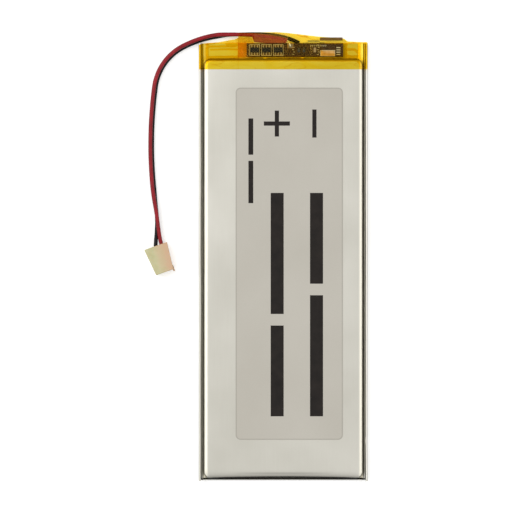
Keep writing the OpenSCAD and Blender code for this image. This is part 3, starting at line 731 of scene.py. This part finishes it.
def back_film():
    """The back film: one sheet from hem to hem, with sloping borders and a curled bottom edge."""
    rows = []
    for y in stations():
        right, left = film_section(y, inner=False)
        x = np.linspace(-FLAT_HALF_W, FLAT_HALF_W, 28)[1:-1]
        dents = DENT * (1 + waves(x, y + 0 * x, 24, 3)) * (y < END_Y - 10)
        flat = np.stack([x, np.full_like(x, y), head_lift(y) + bottom_lift(y) + dents], axis=1)
        rows.append(np.concatenate([left[::-1], flat, right]))
    return skin(rows, FILM_T, flip=True)


def seal_flange(index):
    """The front film's share of one side seal, inside the back film's."""
    rows = [film_section(y, inner=True)[index] for y in stations()]
    return skin(rows, FILM_T, flip=(index == 0))


def cup_ring(side_in, bottom_in, head_in, z, counts):
    """One closed outline of the cup, set in from its walls, as points in a fixed order."""
    across, along, corner = counts
    x0, x1 = side_in - CUP_HALF_W, CUP_HALF_W - side_in
    y0, y1 = BOTTOM_Y + BOTTOM_FOLD + bottom_in, CUP_END - head_in
    r = max(CORNER_R - side_in, 0.3)
    sides = [
        np.linspace((x0 + r, y0), (x1 - r, y0), across + 1),
        np.linspace((x1, y0 + r), (x1, y1 - r), along + 1),
        np.linspace((x1 - r, y1), (x0 + r, y1), across + 1),
        np.linspace((x0, y1 - r), (x0, y0 + r), along + 1)
    ]
    centres = [(x1 - r, y0 + r), (x1 - r, y1 - r), (x0 + r, y1 - r), (x0 + r, y0 + r)]
    parts = []
    for k in range(4):
        parts.append(sides[k])
        parts.append(arc(centres[k], r, 90 * k - 90, 90 * k, corner)[1:-1])
    flat = np.concatenate(parts)
    at_bottom = 1 - smooth_step(flat[:, 1], y0, y0 + 3)
    flat[:, 1] += BOTTOM_BOW * at_bottom * (1 - np.clip(flat[:, 0] / CUP_HALF_W, -1, 1) ** 2)
    return np.column_stack([flat, np.full(len(flat), z)])


def face_height(x, y):
    """The cup's face: flat near its edges, with shallow hollows in the middle."""
    central = np.abs(x) < CUP_HALF_W - 6
    return TOP_Z - HOLLOW * (0.5 + 0.5 * waves(x, y, 38, 21)) * central


def cup_shell():
    """The drawn cup: walls, rounded edges and a face with a few shallow hollows."""
    counts = across, along, corner = 26, 70, 6
    rings = [cup_ring(0, 0, 0, z, counts) for z in (0.62, 1.3, TOP_Z - EDGE_R)]
    for angle in np.radians(np.linspace(0, 90, 9)[1:]):
        share = 1 - math.cos(angle)
        z = TOP_Z - EDGE_R + EDGE_R * math.sin(angle)
        rings.append(cup_ring(EDGE_R * share, BOTTOM_EDGE_R * share, EDGE_R * share, z, counts))
    count = len(rings[0])
    faces = ring_faces(len(rings), count)

    # The face is a grid, which is then joined to the last ring side by side and corner by corner.
    x = np.linspace(CORNER_R - CUP_HALF_W, CUP_HALF_W - CORNER_R, across + 1)
    y = np.linspace(BOTTOM_Y + BOTTOM_FOLD + BOTTOM_EDGE_R + 1.2, CUP_END - CORNER_R, along + 1)
    face_points = sheet_rows(x, y, face_height).reshape(-1, 3)
    start = len(rings) * count
    width = across + 1
    faces += [tuple(start + i for i in face) for face in grid_faces(along + 1, width)]
    borders = (
        [start + i for i in range(width)],
        [start + r * width + across for r in range(along + 1)],
        [start + along * width + c for c in range(across, -1, -1)],
        [start + r * width for r in range(along, -1, -1)]
    )
    last = (len(rings) - 1) * count
    at = 0
    for border in borders:
        for s in range(len(border) - 1):
            faces.append((last + at + s, last + at + s + 1, border[s + 1], border[s]))
        at += len(border) - 1
        for s in range(corner):
            faces.append((last + at + s, last + (at + s + 1) % count, border[-1]))
        at += corner
    return thickened(np.concatenate(rings + [face_points]), faces, FILM_T)


def terrace_height(x, y):
    """The top seal's height: flat, but raised over the two tabs."""
    z = np.full_like(x, TERRACE_Z)
    for low, high in (box_mm("positive_tab"), box_mm("negative_tab")):
        middle, half = (low[0] + high[0]) / 2, (high[0] - low[0]) / 2 + 1.5
        z += TAB_RISE * (1 - smooth_step(np.abs(x - middle), half, half + 0.5))
    return z


def terrace():
    """The top seal between the cup and the end of the pouch."""
    x = np.linspace(-FLAT_HALF_W, FLAT_HALF_W, 120)
    y = np.linspace(CUP_END - 0.3, END_Y, 9)
    return skin(sheet_rows(x, y, terrace_height), FILM_T)


def build_pouch():
    front = add_mesh("pouch_front", *joined([cup_shell(), seal_flange(0), seal_flange(1), terrace()]), film)
    back = add_mesh("pouch_back", *back_film(), film)
    place_piece(front, "pouch_cup")
    place_piece(back, "pouch_lid")


# ---- Tape ----

TAPE_STEP = 0.3
TAPE_LIFT = 0.03
SHEET_LAP = 0.12
TURN_L = 0.18
TURN_GAP = 0.02
SUPPORT_MARGIN = 0.15
SUPPORTS = (
    "circuit_board", "chip_resistors", "chip_capacitor", "edge_insulator", "protection_ic", "mosfets",
    "solder_joints"
)


def at_end(*corners):
    """Corners given as X and a distance past the pouch's end, as X and Y."""
    return tuple((x, END_Y + past) for x, past in corners)


# Where the tape folds over the head, at the left of the leads' exit and at the right of it.
LEFT_FOLD = at_end((-27.9, -0.5), (-26.7, 0), (-21.6, 0.4), (-19.6, 0.75), (-15.9, 1.3), (-15, 1.8))
MAIN_FOLD = at_end(
    (-14.8, 3.52), (-8, 3.65), (-2, 3.68), (1.6, 3.4), (5, 3), (8, 2.65), (12, 2.2), (19.6, 1.65),
    (20.4, 1.4), (21.2, 0.7), (27.6, 0.4), (27.9, 0.2)
)

# Each crease is a line, its height, and its width.
LEFT_CREASES = (
    (at_end((-27.9, -1.05), (-16, -0.9)), 0.12, 0.25),
    (at_end((-26, -5.25), (-15, -5.45)), -0.12, 0.3),
    (at_end((-24, -2.1), (-19, -1.9), (-15.2, -2)), 0.07, 0.25)
)
MAIN_CREASES = (
    (at_end((20.6, -5), (24.4, -5.7), (26.6, -8)), 0.2, 0.25),
    (at_end((20.3, -1.9), (23.6, -2), (25.2, -3.4), (26.4, -5.6)), 0.16, 0.3),
    (at_end((2, 2.9), (5.4, 1.2), (7, 0.7), (12, 0.5), (19.8, 0.7)), 0.12, 0.22),
    (at_end((4.5, 2.4), (9, 1.5), (12, 1.7)), 0.10, 0.25),
    (at_end((-14.5, -5.1), (8, -5.3), (20, -5.1)), -0.1, 0.35)
)
BACK_CREASES = (
    (at_end((-20, -1.3), (20, -1.3)), -0.05, 0.25),
    (at_end((26.9, -0.2), (27, -3.2), (25.6, -6.2), (25.2, -8.8)), -0.05, 0.3),
    (at_end((20.5, -4.9), (17, -6.1), (14, -7.6)), -0.05, 0.3)
)


def creased(x, y, z, creases):
    for line, height, width in creases:
        z = z + height * np.exp(-(line_distance(x, y, line) / width) ** 2)
    return z


def edge_height(past):
    """The cup's height, at a distance past the start of its rounded edge."""
    share = np.clip(past / EDGE_R, 0, 1)
    return TOP_Z - EDGE_R * (1 - np.sqrt(1 - np.minimum(share, 0.98) ** 2))


def support_height(x, y):
    """The top of what lies under the tape's front at each point."""
    top = np.where(y < CUP_END, edge_height(y - (CUP_END - EDGE_R)), TERRACE_Z)
    side = edge_height(np.abs(x) - (CUP_HALF_W - EDGE_R))
    top = np.minimum(top, np.where(np.abs(x) < CUP_HALF_W, side, TERRACE_Z))
    border = np.clip((np.abs(x) - FLAT_HALF_W) / BORDER_W, 0, 1)
    top = np.maximum(top, TERRACE_Z + 0.45 * border)
    hem = np.abs(x) > HALF_W - 2 * (FILM_T + HEM_CREST_R) - FILM_T
    top = np.where(hem & (y < END_Y + 0.3), np.maximum(top, CREST_Z), top)
    # Under the tape, the leads count as one box.
    lead_space = ((EXIT_X - 3, red_low[1]), red_high)
    for low, high in (*map(box_mm, SUPPORTS), lead_space):
        over = (x > low[0] - SUPPORT_MARGIN) & (x < high[0] + SUPPORT_MARGIN)
        over &= (y > low[1] - SUPPORT_MARGIN) & (y < high[1] + SUPPORT_MARGIN)
        top = np.where(over, np.maximum(top, high[2]), top)
    return top


def widened(heights):
    """Each point takes the highest of its own and its neighbours' heights."""
    padded = np.pad(heights, 1, mode="edge")
    rows, columns = heights.shape
    return np.max([padded[i:i + rows, j:j + columns] for i in range(3) for j in range(3)], axis=0)


def draped(x, y, fixed, start, pull, rounds=260):
    """Lets a sheet settle: each point moves to its neighbours' mean, less pull, but not into its support."""
    floor = widened(support_height(x, y)) + TAPE_LIFT
    start = np.maximum(start, floor)
    z = start
    for _ in range(rounds):
        padded = np.pad(z, 1, mode="edge")
        mean = (padded[:-2, 1:-1] + padded[2:, 1:-1] + padded[1:-1, :-2] + padded[1:-1, 2:]) / 4
        z = np.where(fixed, start, np.maximum(mean - pull, floor))
    return z


def front_sheet(xs, fold, fold_z, pull, creases):
    """The tape's front: it starts on the cup's face, settles over the head and ends at the fold."""
    share, x = np.meshgrid(np.linspace(0, 1, 44), xs, indexing="ij")
    y = TAPE_FRONT_Y + share * (fold - TAPE_FRONT_Y)
    start = np.where(share > 0.99, fold_z(x), support_height(x, y) + 0.02)
    fixed = (share > 0.99) | (share < 0.01)
    return x, y, creased(x, y, draped(x, y, fixed, start, pull(x)), creases)


def folded_sheet(x_from, x_to, corners, fold_z, pull, creases, back_creases):
    """A front sheet, the fold, and the back layer up to the tape's back edge."""
    xs = np.linspace(x_from, x_to, max(int((x_to - x_from) / TAPE_STEP), 8) + 1)
    fold = np.interp(xs, *zip(*corners))
    x, y, z = front_sheet(xs, fold, fold_z, pull, creases)
    rows = [np.stack([x[i], y[i], z[i]], axis=1) for i in range(len(z) - 1)]
    middle, half = (z[-1] + TAPE_BACK_Z) / 2, (z[-1] - TAPE_BACK_Z) / 2
    for angle in np.radians(np.linspace(80, -80, 7)):
        turn_y = fold - TURN_L * (1 - math.cos(angle))
        rows.append(np.stack([xs, turn_y, middle + half * math.sin(angle)], axis=1))
    back_start = fold - (TURN_L + TURN_GAP)
    for share in np.linspace(0, 1, 40)[1:]:
        back_y = back_start + share * (TAPE_BACK_Y - back_start)
        back_z = creased(xs, back_y, TAPE_BACK_Z + 0 * xs, back_creases)
        rows.append(np.stack([xs, back_y, back_z], axis=1))
    return skin(rows, TAPE_T)


def main_fold_z(x):
    """The fold stands high over the leads and low at the far corner."""
    return np.interp(x, (-15, 1, 8, 19.6, 21.5, 27.9), (3.3, 3.3, 2.8, 2.6, 0.8, 1.2))


def main_pull(x):
    """How hard the tape is pressed down: hard at its sticky corner, little over the board."""
    return np.where(x > board_high[0] + 0.6, 0.05, 0.006)


def tape_tongue():
    """The inner layer of tape at the left, whose tongue lies behind the board's end."""
    x = np.linspace(EXIT_X - 0.1, board_low[0] + 2.4, 16)
    y = np.linspace(CUP_END + 0.35, END_Y + 1.8, 24)
    return skin(sheet_rows(x, y, lambda x, y: 1.1 + 0.03 * waves(x, y, 6, 31)), TAPE_T)


def back_strip(node):
    """A strip of tape on the back, which isn't quite flat."""
    low, high = box_mm(node)
    x = np.linspace(low[0], high[0], 90)
    y = np.linspace(low[1], high[1], 12)
    return skin(sheet_rows(x, y, lambda x, y: low[2] + 0.006 * (1 + waves(x, y, 7, 41))), TAPE_T, flip=True)


def build_tape():
    left = folded_sheet(
        tape_low[0], EXIT_X + SHEET_LAP, LEFT_FOLD, lambda x: 0.9, lambda x: 0.08, LEFT_CREASES, ()
    )
    main = folded_sheet(
        EXIT_X, tape_high[0], MAIN_FOLD, main_fold_z, main_pull, MAIN_CREASES, BACK_CREASES
    )
    head = add_mesh("head_tape_sheets", *joined([left, main, tape_tongue()]), tape)
    place_piece(head, "head_tape")
    for name, node in (("board_tape_back", "board_tape_strip"), ("corner_tape_back", "corner_tape_strip")):
        place_piece(add_mesh(name, *back_strip(node), strip_tape), node)


# ---- Leads ----

HINGES = ("lead_exit_swing", "lead_shoulder_bend", "lead_drop_bend", "plug_swing")
PARTS = ("root", "upper", "bend", "lower", "end")

# Path steps before and after each hinge, at which the ends of a bend are read off; nothing uses those ends.
BLEND_REACH = ((0, 16), (12, 12), (16, 16), (12, 12))
LEAD_STEP = 0.4
MAX_SPREAD = 3.6
BUNDLE_HALF_W = 0.3

# Where each lead's insulation ends, beside the board.
RED_END = np.array((red_high[0] + 0.2, END_Y + 0.95))
BLACK_END = np.array((black_high[0] + 0.5, END_Y + 0.1))
TINNED_R = 0.27
DEPTH_IN_PLUG = 2.6


def arc_chain(points, heading):
    """Arcs through the given points, each tangent to the one before, with the end's heading."""
    path = [np.array(points[0])]
    for p, q in zip(points, points[1:]):
        chord = q - p
        turn = 2 * (math.atan2(chord[1], chord[0]) - heading)
        turn = (turn + math.pi) % (2 * math.pi) - math.pi
        length = np.linalg.norm(chord) * (turn / 2) / math.sin(turn / 2)
        steps = max(int(length / LEAD_STEP), 2)
        radius = length / turn
        for k in range(1, steps + 1):
            a = turn * k / steps
            path.append(p + radius * np.array([
                math.sin(heading + a) - math.sin(heading), math.cos(heading) - math.cos(heading + a)
            ]))
        heading += turn
    return np.array(path), heading


def bezier(points, steps):
    t = np.linspace(0, 1, steps)[:, None]
    a, b, c, d = (np.array(p) for p in points)
    return (1 - t) ** 3 * a + 3 * (1 - t) ** 2 * t * b + 3 * (1 - t) * t ** 2 * c + t ** 3 * d


def root_curve(end, rise, near_rise):
    """A lead under the tape, from its stripped end to the exit: it stays high, then dips to the board."""
    out = joint_point("lead_exit_swing")
    across = end[0] - out[0]
    over = (end[0] - 0.3 * across, out[1] + rise)
    near = (out[0] + 0.33 * across, out[1] + near_rise)
    return bezier([end, over, near, out], 60)


def lead_path(root_end, rises, z, position):
    """The whole middle line of a lead in space, from its stripped end to inside the plug."""
    root = root_curve(root_end, *rises)
    chain, heading = arc_chain([joint_point(hinge) for hinge in HINGES], math.pi)
    upper = np.concatenate([root[:-1], chain])
    upper = np.column_stack([upper, np.full(len(upper), z)])
    first, nose, across, pitch = plug_axes()
    plug_z = sum(corner[2] for corner in box_mm("plug_housing")) / 2
    onward = np.array([math.cos(heading), math.sin(heading)])
    start = chain[-1] + 0.75 * onward
    target = first + position * pitch * across
    approach = -nose if position else np.array((0.0, 1.0))
    to_plug = bezier([
        (*start, z), (*(start + 4.5 * onward), z), (*(target + 2.2 * approach), plug_z), (*target, plug_z)
    ], 34)
    in_plug = np.linspace((*target, plug_z), (*(target + DEPTH_IN_PLUG * nose), plug_z), 8)[1:]
    return np.concatenate([upper, to_plug, in_plug])


def resampled(path, step):
    """A path with its points a fixed step apart."""
    steps = np.linalg.norm(np.diff(path, axis=0), axis=1)
    lengths = np.concatenate([[0], np.cumsum(steps)])
    places = np.linspace(0, lengths[-1], int(lengths[-1] / step) + 1)
    return np.stack([np.interp(places, lengths, path[:, k]) for k in range(3)], axis=1)


def tube(path, radius, sides=18, spread=1.0):
    """A closed round bar along a path. With spread it is that much wider on its lower side in the plane."""
    tangent = unit_rows(np.gradient(path, axis=0))
    across = unit_rows(np.cross(tangent, (0, 0, 1)))
    over = np.cross(across, tangent)
    angles = np.linspace(0, 2 * math.pi, sides, endpoint=False)
    sideways, upward = np.cos(angles)[:, None], np.sin(angles)[:, None]
    points = np.concatenate([
        p + radius * (sideways * np.where(sideways < 0, wider, 1) * a + upward * o)
        for p, a, o, wider in zip(path, across, over, np.broadcast_to(spread, len(path)))
    ])
    faces = ring_faces(len(path), sides, flip=True)
    last = (len(path) - 1) * sides
    faces.append(tuple(range(sides)))
    faces.append(tuple(last + i for i in reversed(range(sides))))
    return points, faces


def sway(path, sign):
    """How far a lead lies to one side of the bundle's middle: the two leads cross above the plug."""
    plug_y = plug_axes()[0][1]
    exit_x = joint_point("lead_exit_swing")[0]
    leaves = 1 - smooth_step(path[:, 0], exit_x - 6, exit_x - 0.5)
    before_plug = smooth_step(path[:, 1], plug_y + 9, plug_y + 20)
    return sign * BUNDLE_HALF_W * leaves * before_plug


def build_lead(colour, material, root_end, rises, z, position, sign, pressed):
    """One lead in four lengths, each of which takes in one hinge."""
    path = resampled(lead_path(root_end, rises, z, position), LEAD_STEP)
    under_tape = smooth_step(path[:, 0], board_low[0] + 1.9, board_low[0] + 2.7)
    room = np.clip((path[:, 1] - END_Y + 0.05) / LEAD_R, 1, MAX_SPREAD)
    spread = 1 + pressed * under_tape * (room - 1)
    path[:, :2] = offset_path(path[:, :2], sway(path, sign)[:, None])
    hinges = [joint_point(hinge) for hinge in HINGES]
    at = [int(np.argmin(np.linalg.norm(path[:, :2] - hinge, axis=1))) for hinge in hinges]
    cuts = [0] + [(a + b) // 2 for a, b in zip(at, at[1:])] + [len(path) - 1]
    for k, hinge in enumerate(at):
        span = slice(cuts[k], cuts[k + 1] + 1)
        name = f"{colour}_lead_{PARTS[k]}_to_{PARTS[k + 1]}"
        piece = add_mesh(name, *tube(path[span], LEAD_R, spread=spread[span]), material)
        nodes = [f"{colour}_lead_{PARTS[k + 1]}", f"lead_cores_{PARTS[k + 1]}"]
        if k == 0:
            nodes.append(f"{colour}_lead_root")
        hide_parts(*nodes)
        before, after = BLEND_REACH[k]
        start, end = path[hinge - before] * MM, path[hinge + after] * MM
        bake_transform(piece)


def build_tinned_ends():
    """The bare tinned strands, from each lead's insulation to its solder on the board."""
    low, high = box_mm("solder_joints")
    red_pad = np.array((low[0] + 0.8, high[1] - 0.75, board_high[2] + 0.33))
    black_pad = np.array((high[0] - 0.8, low[1] + 0.65, board_low[2] - 0.33))
    parts = []
    for end, z, pad in ((RED_END, RED_Z, red_pad), (BLACK_END, BLACK_Z, black_pad)):
        start = np.array((end[0] - 0.6, end[1] + 0.15, z))
        middle = np.array((end[0] + 0.5, end[1] - 0.3, (z + pad[2]) / 2))
        parts.append(tube(bezier([start, middle, middle, pad], 14), TINNED_R, sides=12))
    place_piece(add_mesh("tinned_lead_ends", *joined(parts), tin), "lead_cores_root")


# ---- Circuit board ----

PRINT_H = 0.02
PACKAGE_L = 2.9


def flat_bar(x0, x1, y0, y1):
    """A thin bar on the board whose upper edges slope in a little, as printed ink does."""
    slope = min(0.03, (x1 - x0) / 4, (y1 - y0) / 4)
    points = []
    for inset, z in ((0, board_high[2]), (slope, board_high[2] + PRINT_H)):
        points += [
            (x0 + inset, y0 + inset, z), (x1 - inset, y0 + inset, z),
            (x1 - inset, y1 - inset, z), (x0 + inset, y1 - inset, z)
        ]
    faces = [(3, 2, 1, 0), (4, 5, 6, 7)] + [(i, (i + 1) % 4, 4 + (i + 1) % 4, 4 + i) for i in range(4)]
    return points, faces


def outline_bars(x0, x1, y0, y1, line):
    """A printed rectangle made of four bars."""
    return [
        flat_bar(x0, x1, y0, y0 + line), flat_bar(x0, x1, y1 - line, y1),
        flat_bar(x0, x0 + line, y0 + line, y1 - line), flat_bar(x1 - line, x1, y0 + line, y1 - line)
    ]


def build_board_marks():
    """Printed outlines and short dashes on the board. They spell nothing."""
    left = board_low[0]
    y0, y1 = board_low[1] + 0.35, board_high[1] - 0.35
    parts = []

    # Outlines round the three packages.
    for node, copies in (("protection_ic", 1), ("mosfets", 2)):
        low, high = box_mm(node)
        pitch = (high[0] - low[0] - PACKAGE_L) / max(copies - 1, 1)
        for k in range(copies):
            x = low[0] + k * pitch
            parts += outline_bars(x - 0.24, x + PACKAGE_L + 0.24, y0, y1, 0.16)

    # Two columns of dashes, a double row of ticks, and a stack of short bars at the far end.
    for row, y in enumerate(np.linspace(y0 + 0.4, y1 - 0.3, 5)):
        for column in (15.1, 23.3):
            x = left + column + 0.35 * (row % 2)
            parts.append(flat_bar(x, x + 0.5, y, y + 0.16))
    for step in range(9):
        x = left + 21 + 0.62 * step
        parts.append(flat_bar(x, x + 0.42, y1 - 0.42, y1 - 0.26))
        parts.append(flat_bar(x + 0.1, x + 0.26, y1 - 0.8, y1 - 0.62))
    for step in range(4):
        y = y0 + 0.3 + 0.75 * step
        parts.append(flat_bar(left + 29.7, left + 31, y, y + 0.28))

    # An outline round the large gold pad.
    pad_x, pad_y = left + 26.8, board_low[1] + 1.2
    parts += outline_bars(pad_x - 2.45, pad_x + 2.45, pad_y - 1.0, pad_y + 1.0, 0.14)
    marks = add_mesh("board_marks", *joined(parts), marks_white, smooth=False)
    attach(marks, "cell")


# ---- CAD nodes that are shown ----

def dress(node, material, bevel_mm):
    """Gives a CAD node its material and, on moulded or cut parts, softly rounded edges."""
    piece = frame["nodes"][node]
    piece.data.materials.clear()
    piece.data.materials.append(material)
    if bevel_mm:
        weld = piece.modifiers.new("weld", "WELD")
        weld.merge_threshold = 0.002 * MM
        bevel = piece.modifiers.new("bevel", "BEVEL")
        bevel.width = bevel_mm * MM
        bevel.segments = 3
        bevel.limit_method = "ANGLE"
        bevel.angle_limit = math.radians(40)
        bevel.harden_normals = True


def dress_all():
    for node, material, bevel_mm in (
        ("cathode_foil", cathode, 0), ("anode_foil", anode, 0),
        ("separator_inner", separator_film, 0), ("separator_outer", separator_film, 0),
        ("roll_closing_tape", amber_tape, 0), ("tab_weld_tapes", amber_tape, 0),
        ("positive_tab", aluminium, 0), ("negative_tab", nickel, 0), ("tab_seal_films", sealant, 0),
        ("insulating_paper", paper, 0.02), ("nickel_strips", nickel, 0.03),
        ("circuit_board", board_mask, 0.05), ("board_pads", gold, 0),
        ("protection_ic", packages, 0.05), ("mosfets", packages, 0.05),
        ("chip_resistors", glaze, 0.06), ("chip_capacitor", ceramic, 0.06),
        ("solder_joints", solder, 0.08), ("edge_insulator", dark_sheet, 0.1),
        ("label", label_paper, 0), ("label_print", ink, 0),
        ("crimp_terminals", tinned, 0.04), ("plug_housing", nylon, 0.22)
    ):
        dress(node, material, bevel_mm)


# ---- Stage ----

def build_floor(z):
    """A pale floor, lit like a light table, that is clear from below so that the back can be seen."""
    material, tree = new_material("floor_pale")
    colour = toned(noise(tree, 60), (0.90, 0.90, 0.895), (0.92, 0.92, 0.915))
    matt = add_node(tree, "BsdfDiffuse", {"Color": colour}).outputs[0]
    glow = add_node(tree, "Emission", {"Color": colour, "Strength": 0.4}).outputs[0]
    seen = add_node(tree, "AddShader", {0: matt, 1: glow}).outputs[0]
    geometry = add_node(tree, "NewGeometry")
    steepness = abs(axes(tree, geometry.outputs["Incoming"])[2])
    strength = stretched(steepness, 0.25, 0.92, 0.12, 1.08)
    bounce = add_node(tree, "Emission", {"Color": colour, "Strength": strength}).outputs[0]
    by_camera = add_node(tree, "LightPath").outputs["Is Camera Ray"]
    above = mixed_shader(tree, by_camera, bounce, seen)
    clear = add_node(tree, "BsdfTransparent").outputs[0]
    output(tree, mixed_shader(tree, geometry.outputs["Backfacing"], above, clear))
    size = 900
    points = [(-size, -size, z), (size, -size, z), (size, size, z), (-size, size, z)]
    floor = add_mesh("floor", points, [(0, 1, 2, 3)], material, smooth=False)


def build_world():
    """A soft white tent: bright overhead and at the sides, darker low down behind the cell's ends."""
    world = bpy.data.worlds.new("tent")
    bpy.context.scene.world = world
    world.use_nodes = True
    tree = world.node_tree
    tree.nodes.clear()
    sides, ends, up = map(abs, axes(tree, add_node(tree, "TexCoord").outputs["Generated"]))
    path = add_node(tree, "LightPath").outputs
    in_mirror = Field(tree, path["Is Glossy Ray"])
    light = up * 0.36 + 0.44 + sides * (in_mirror * 0.5 + 0.5) - ends ** 3.0 * 0.32
    tent = add_node(tree, "Background", {"Color": (1, 0.995, 0.98, 1), "Strength": light})
    plain = add_node(tree, "Background", {"Color": (1, 1, 1, 1), "Strength": 1.0})
    shown = mixed_shader(tree, path["Is Camera Ray"], tent.outputs[0], plain.outputs[0])
    add_node(tree, "OutputWorld", {"Surface": shown})


def build_lamp(name, place, size, watts):
    """A large soft lamp that points at the middle of the cell and isn't itself in the picture."""
    data = bpy.data.lights.new(name, "AREA")
    data.size = size
    data.energy = watts
    lamp = bpy.data.objects.new(name, data)
    lamp.location = place
    lamp.rotation_euler = (-Vector(place)).to_track_quat("-Z", "Y").to_euler()
    lamp.visible_camera = False
    bpy.context.scene.collection.objects.link(lamp)


def build_camera():
    """Straight above the middle of the object, with +Y up and a long lens."""
    low, high = cad_bounds
    middle = (low + high) / 2
    height, shown = 1.5, 0.1695
    data = bpy.data.cameras.new("camera")
    data.sensor_width = 36
    data.lens = data.sensor_width * height / shown
    data.clip_end = 10
    camera = bpy.data.objects.new("camera", data)
    camera.location = (middle.x, middle.y, height)
    bpy.context.scene.collection.objects.link(camera)
    bpy.context.scene.camera = camera


def build_stage():
    build_floor(-0.03)
    build_world()
    build_lamp("key", (-0.5, 0.35, 0.9), 0.7, 3.5)
    build_camera()
    scene = bpy.context.scene
    scene.view_settings.view_transform = "Standard"
    scene.cycles.transparent_max_bounces = 32


# ---- Build ----

dress_all()
build_pouch()
build_tape()
build_lead("red", red_skin, RED_END, (-0.35, -0.12), RED_Z, position=1, sign=1, pressed=1.0)
build_lead("black", black_skin, BLACK_END, (0.8, 0.15), BLACK_Z, position=0, sign=-1, pressed=0.0)
build_tinned_ends()
build_board_marks()
build_stage()
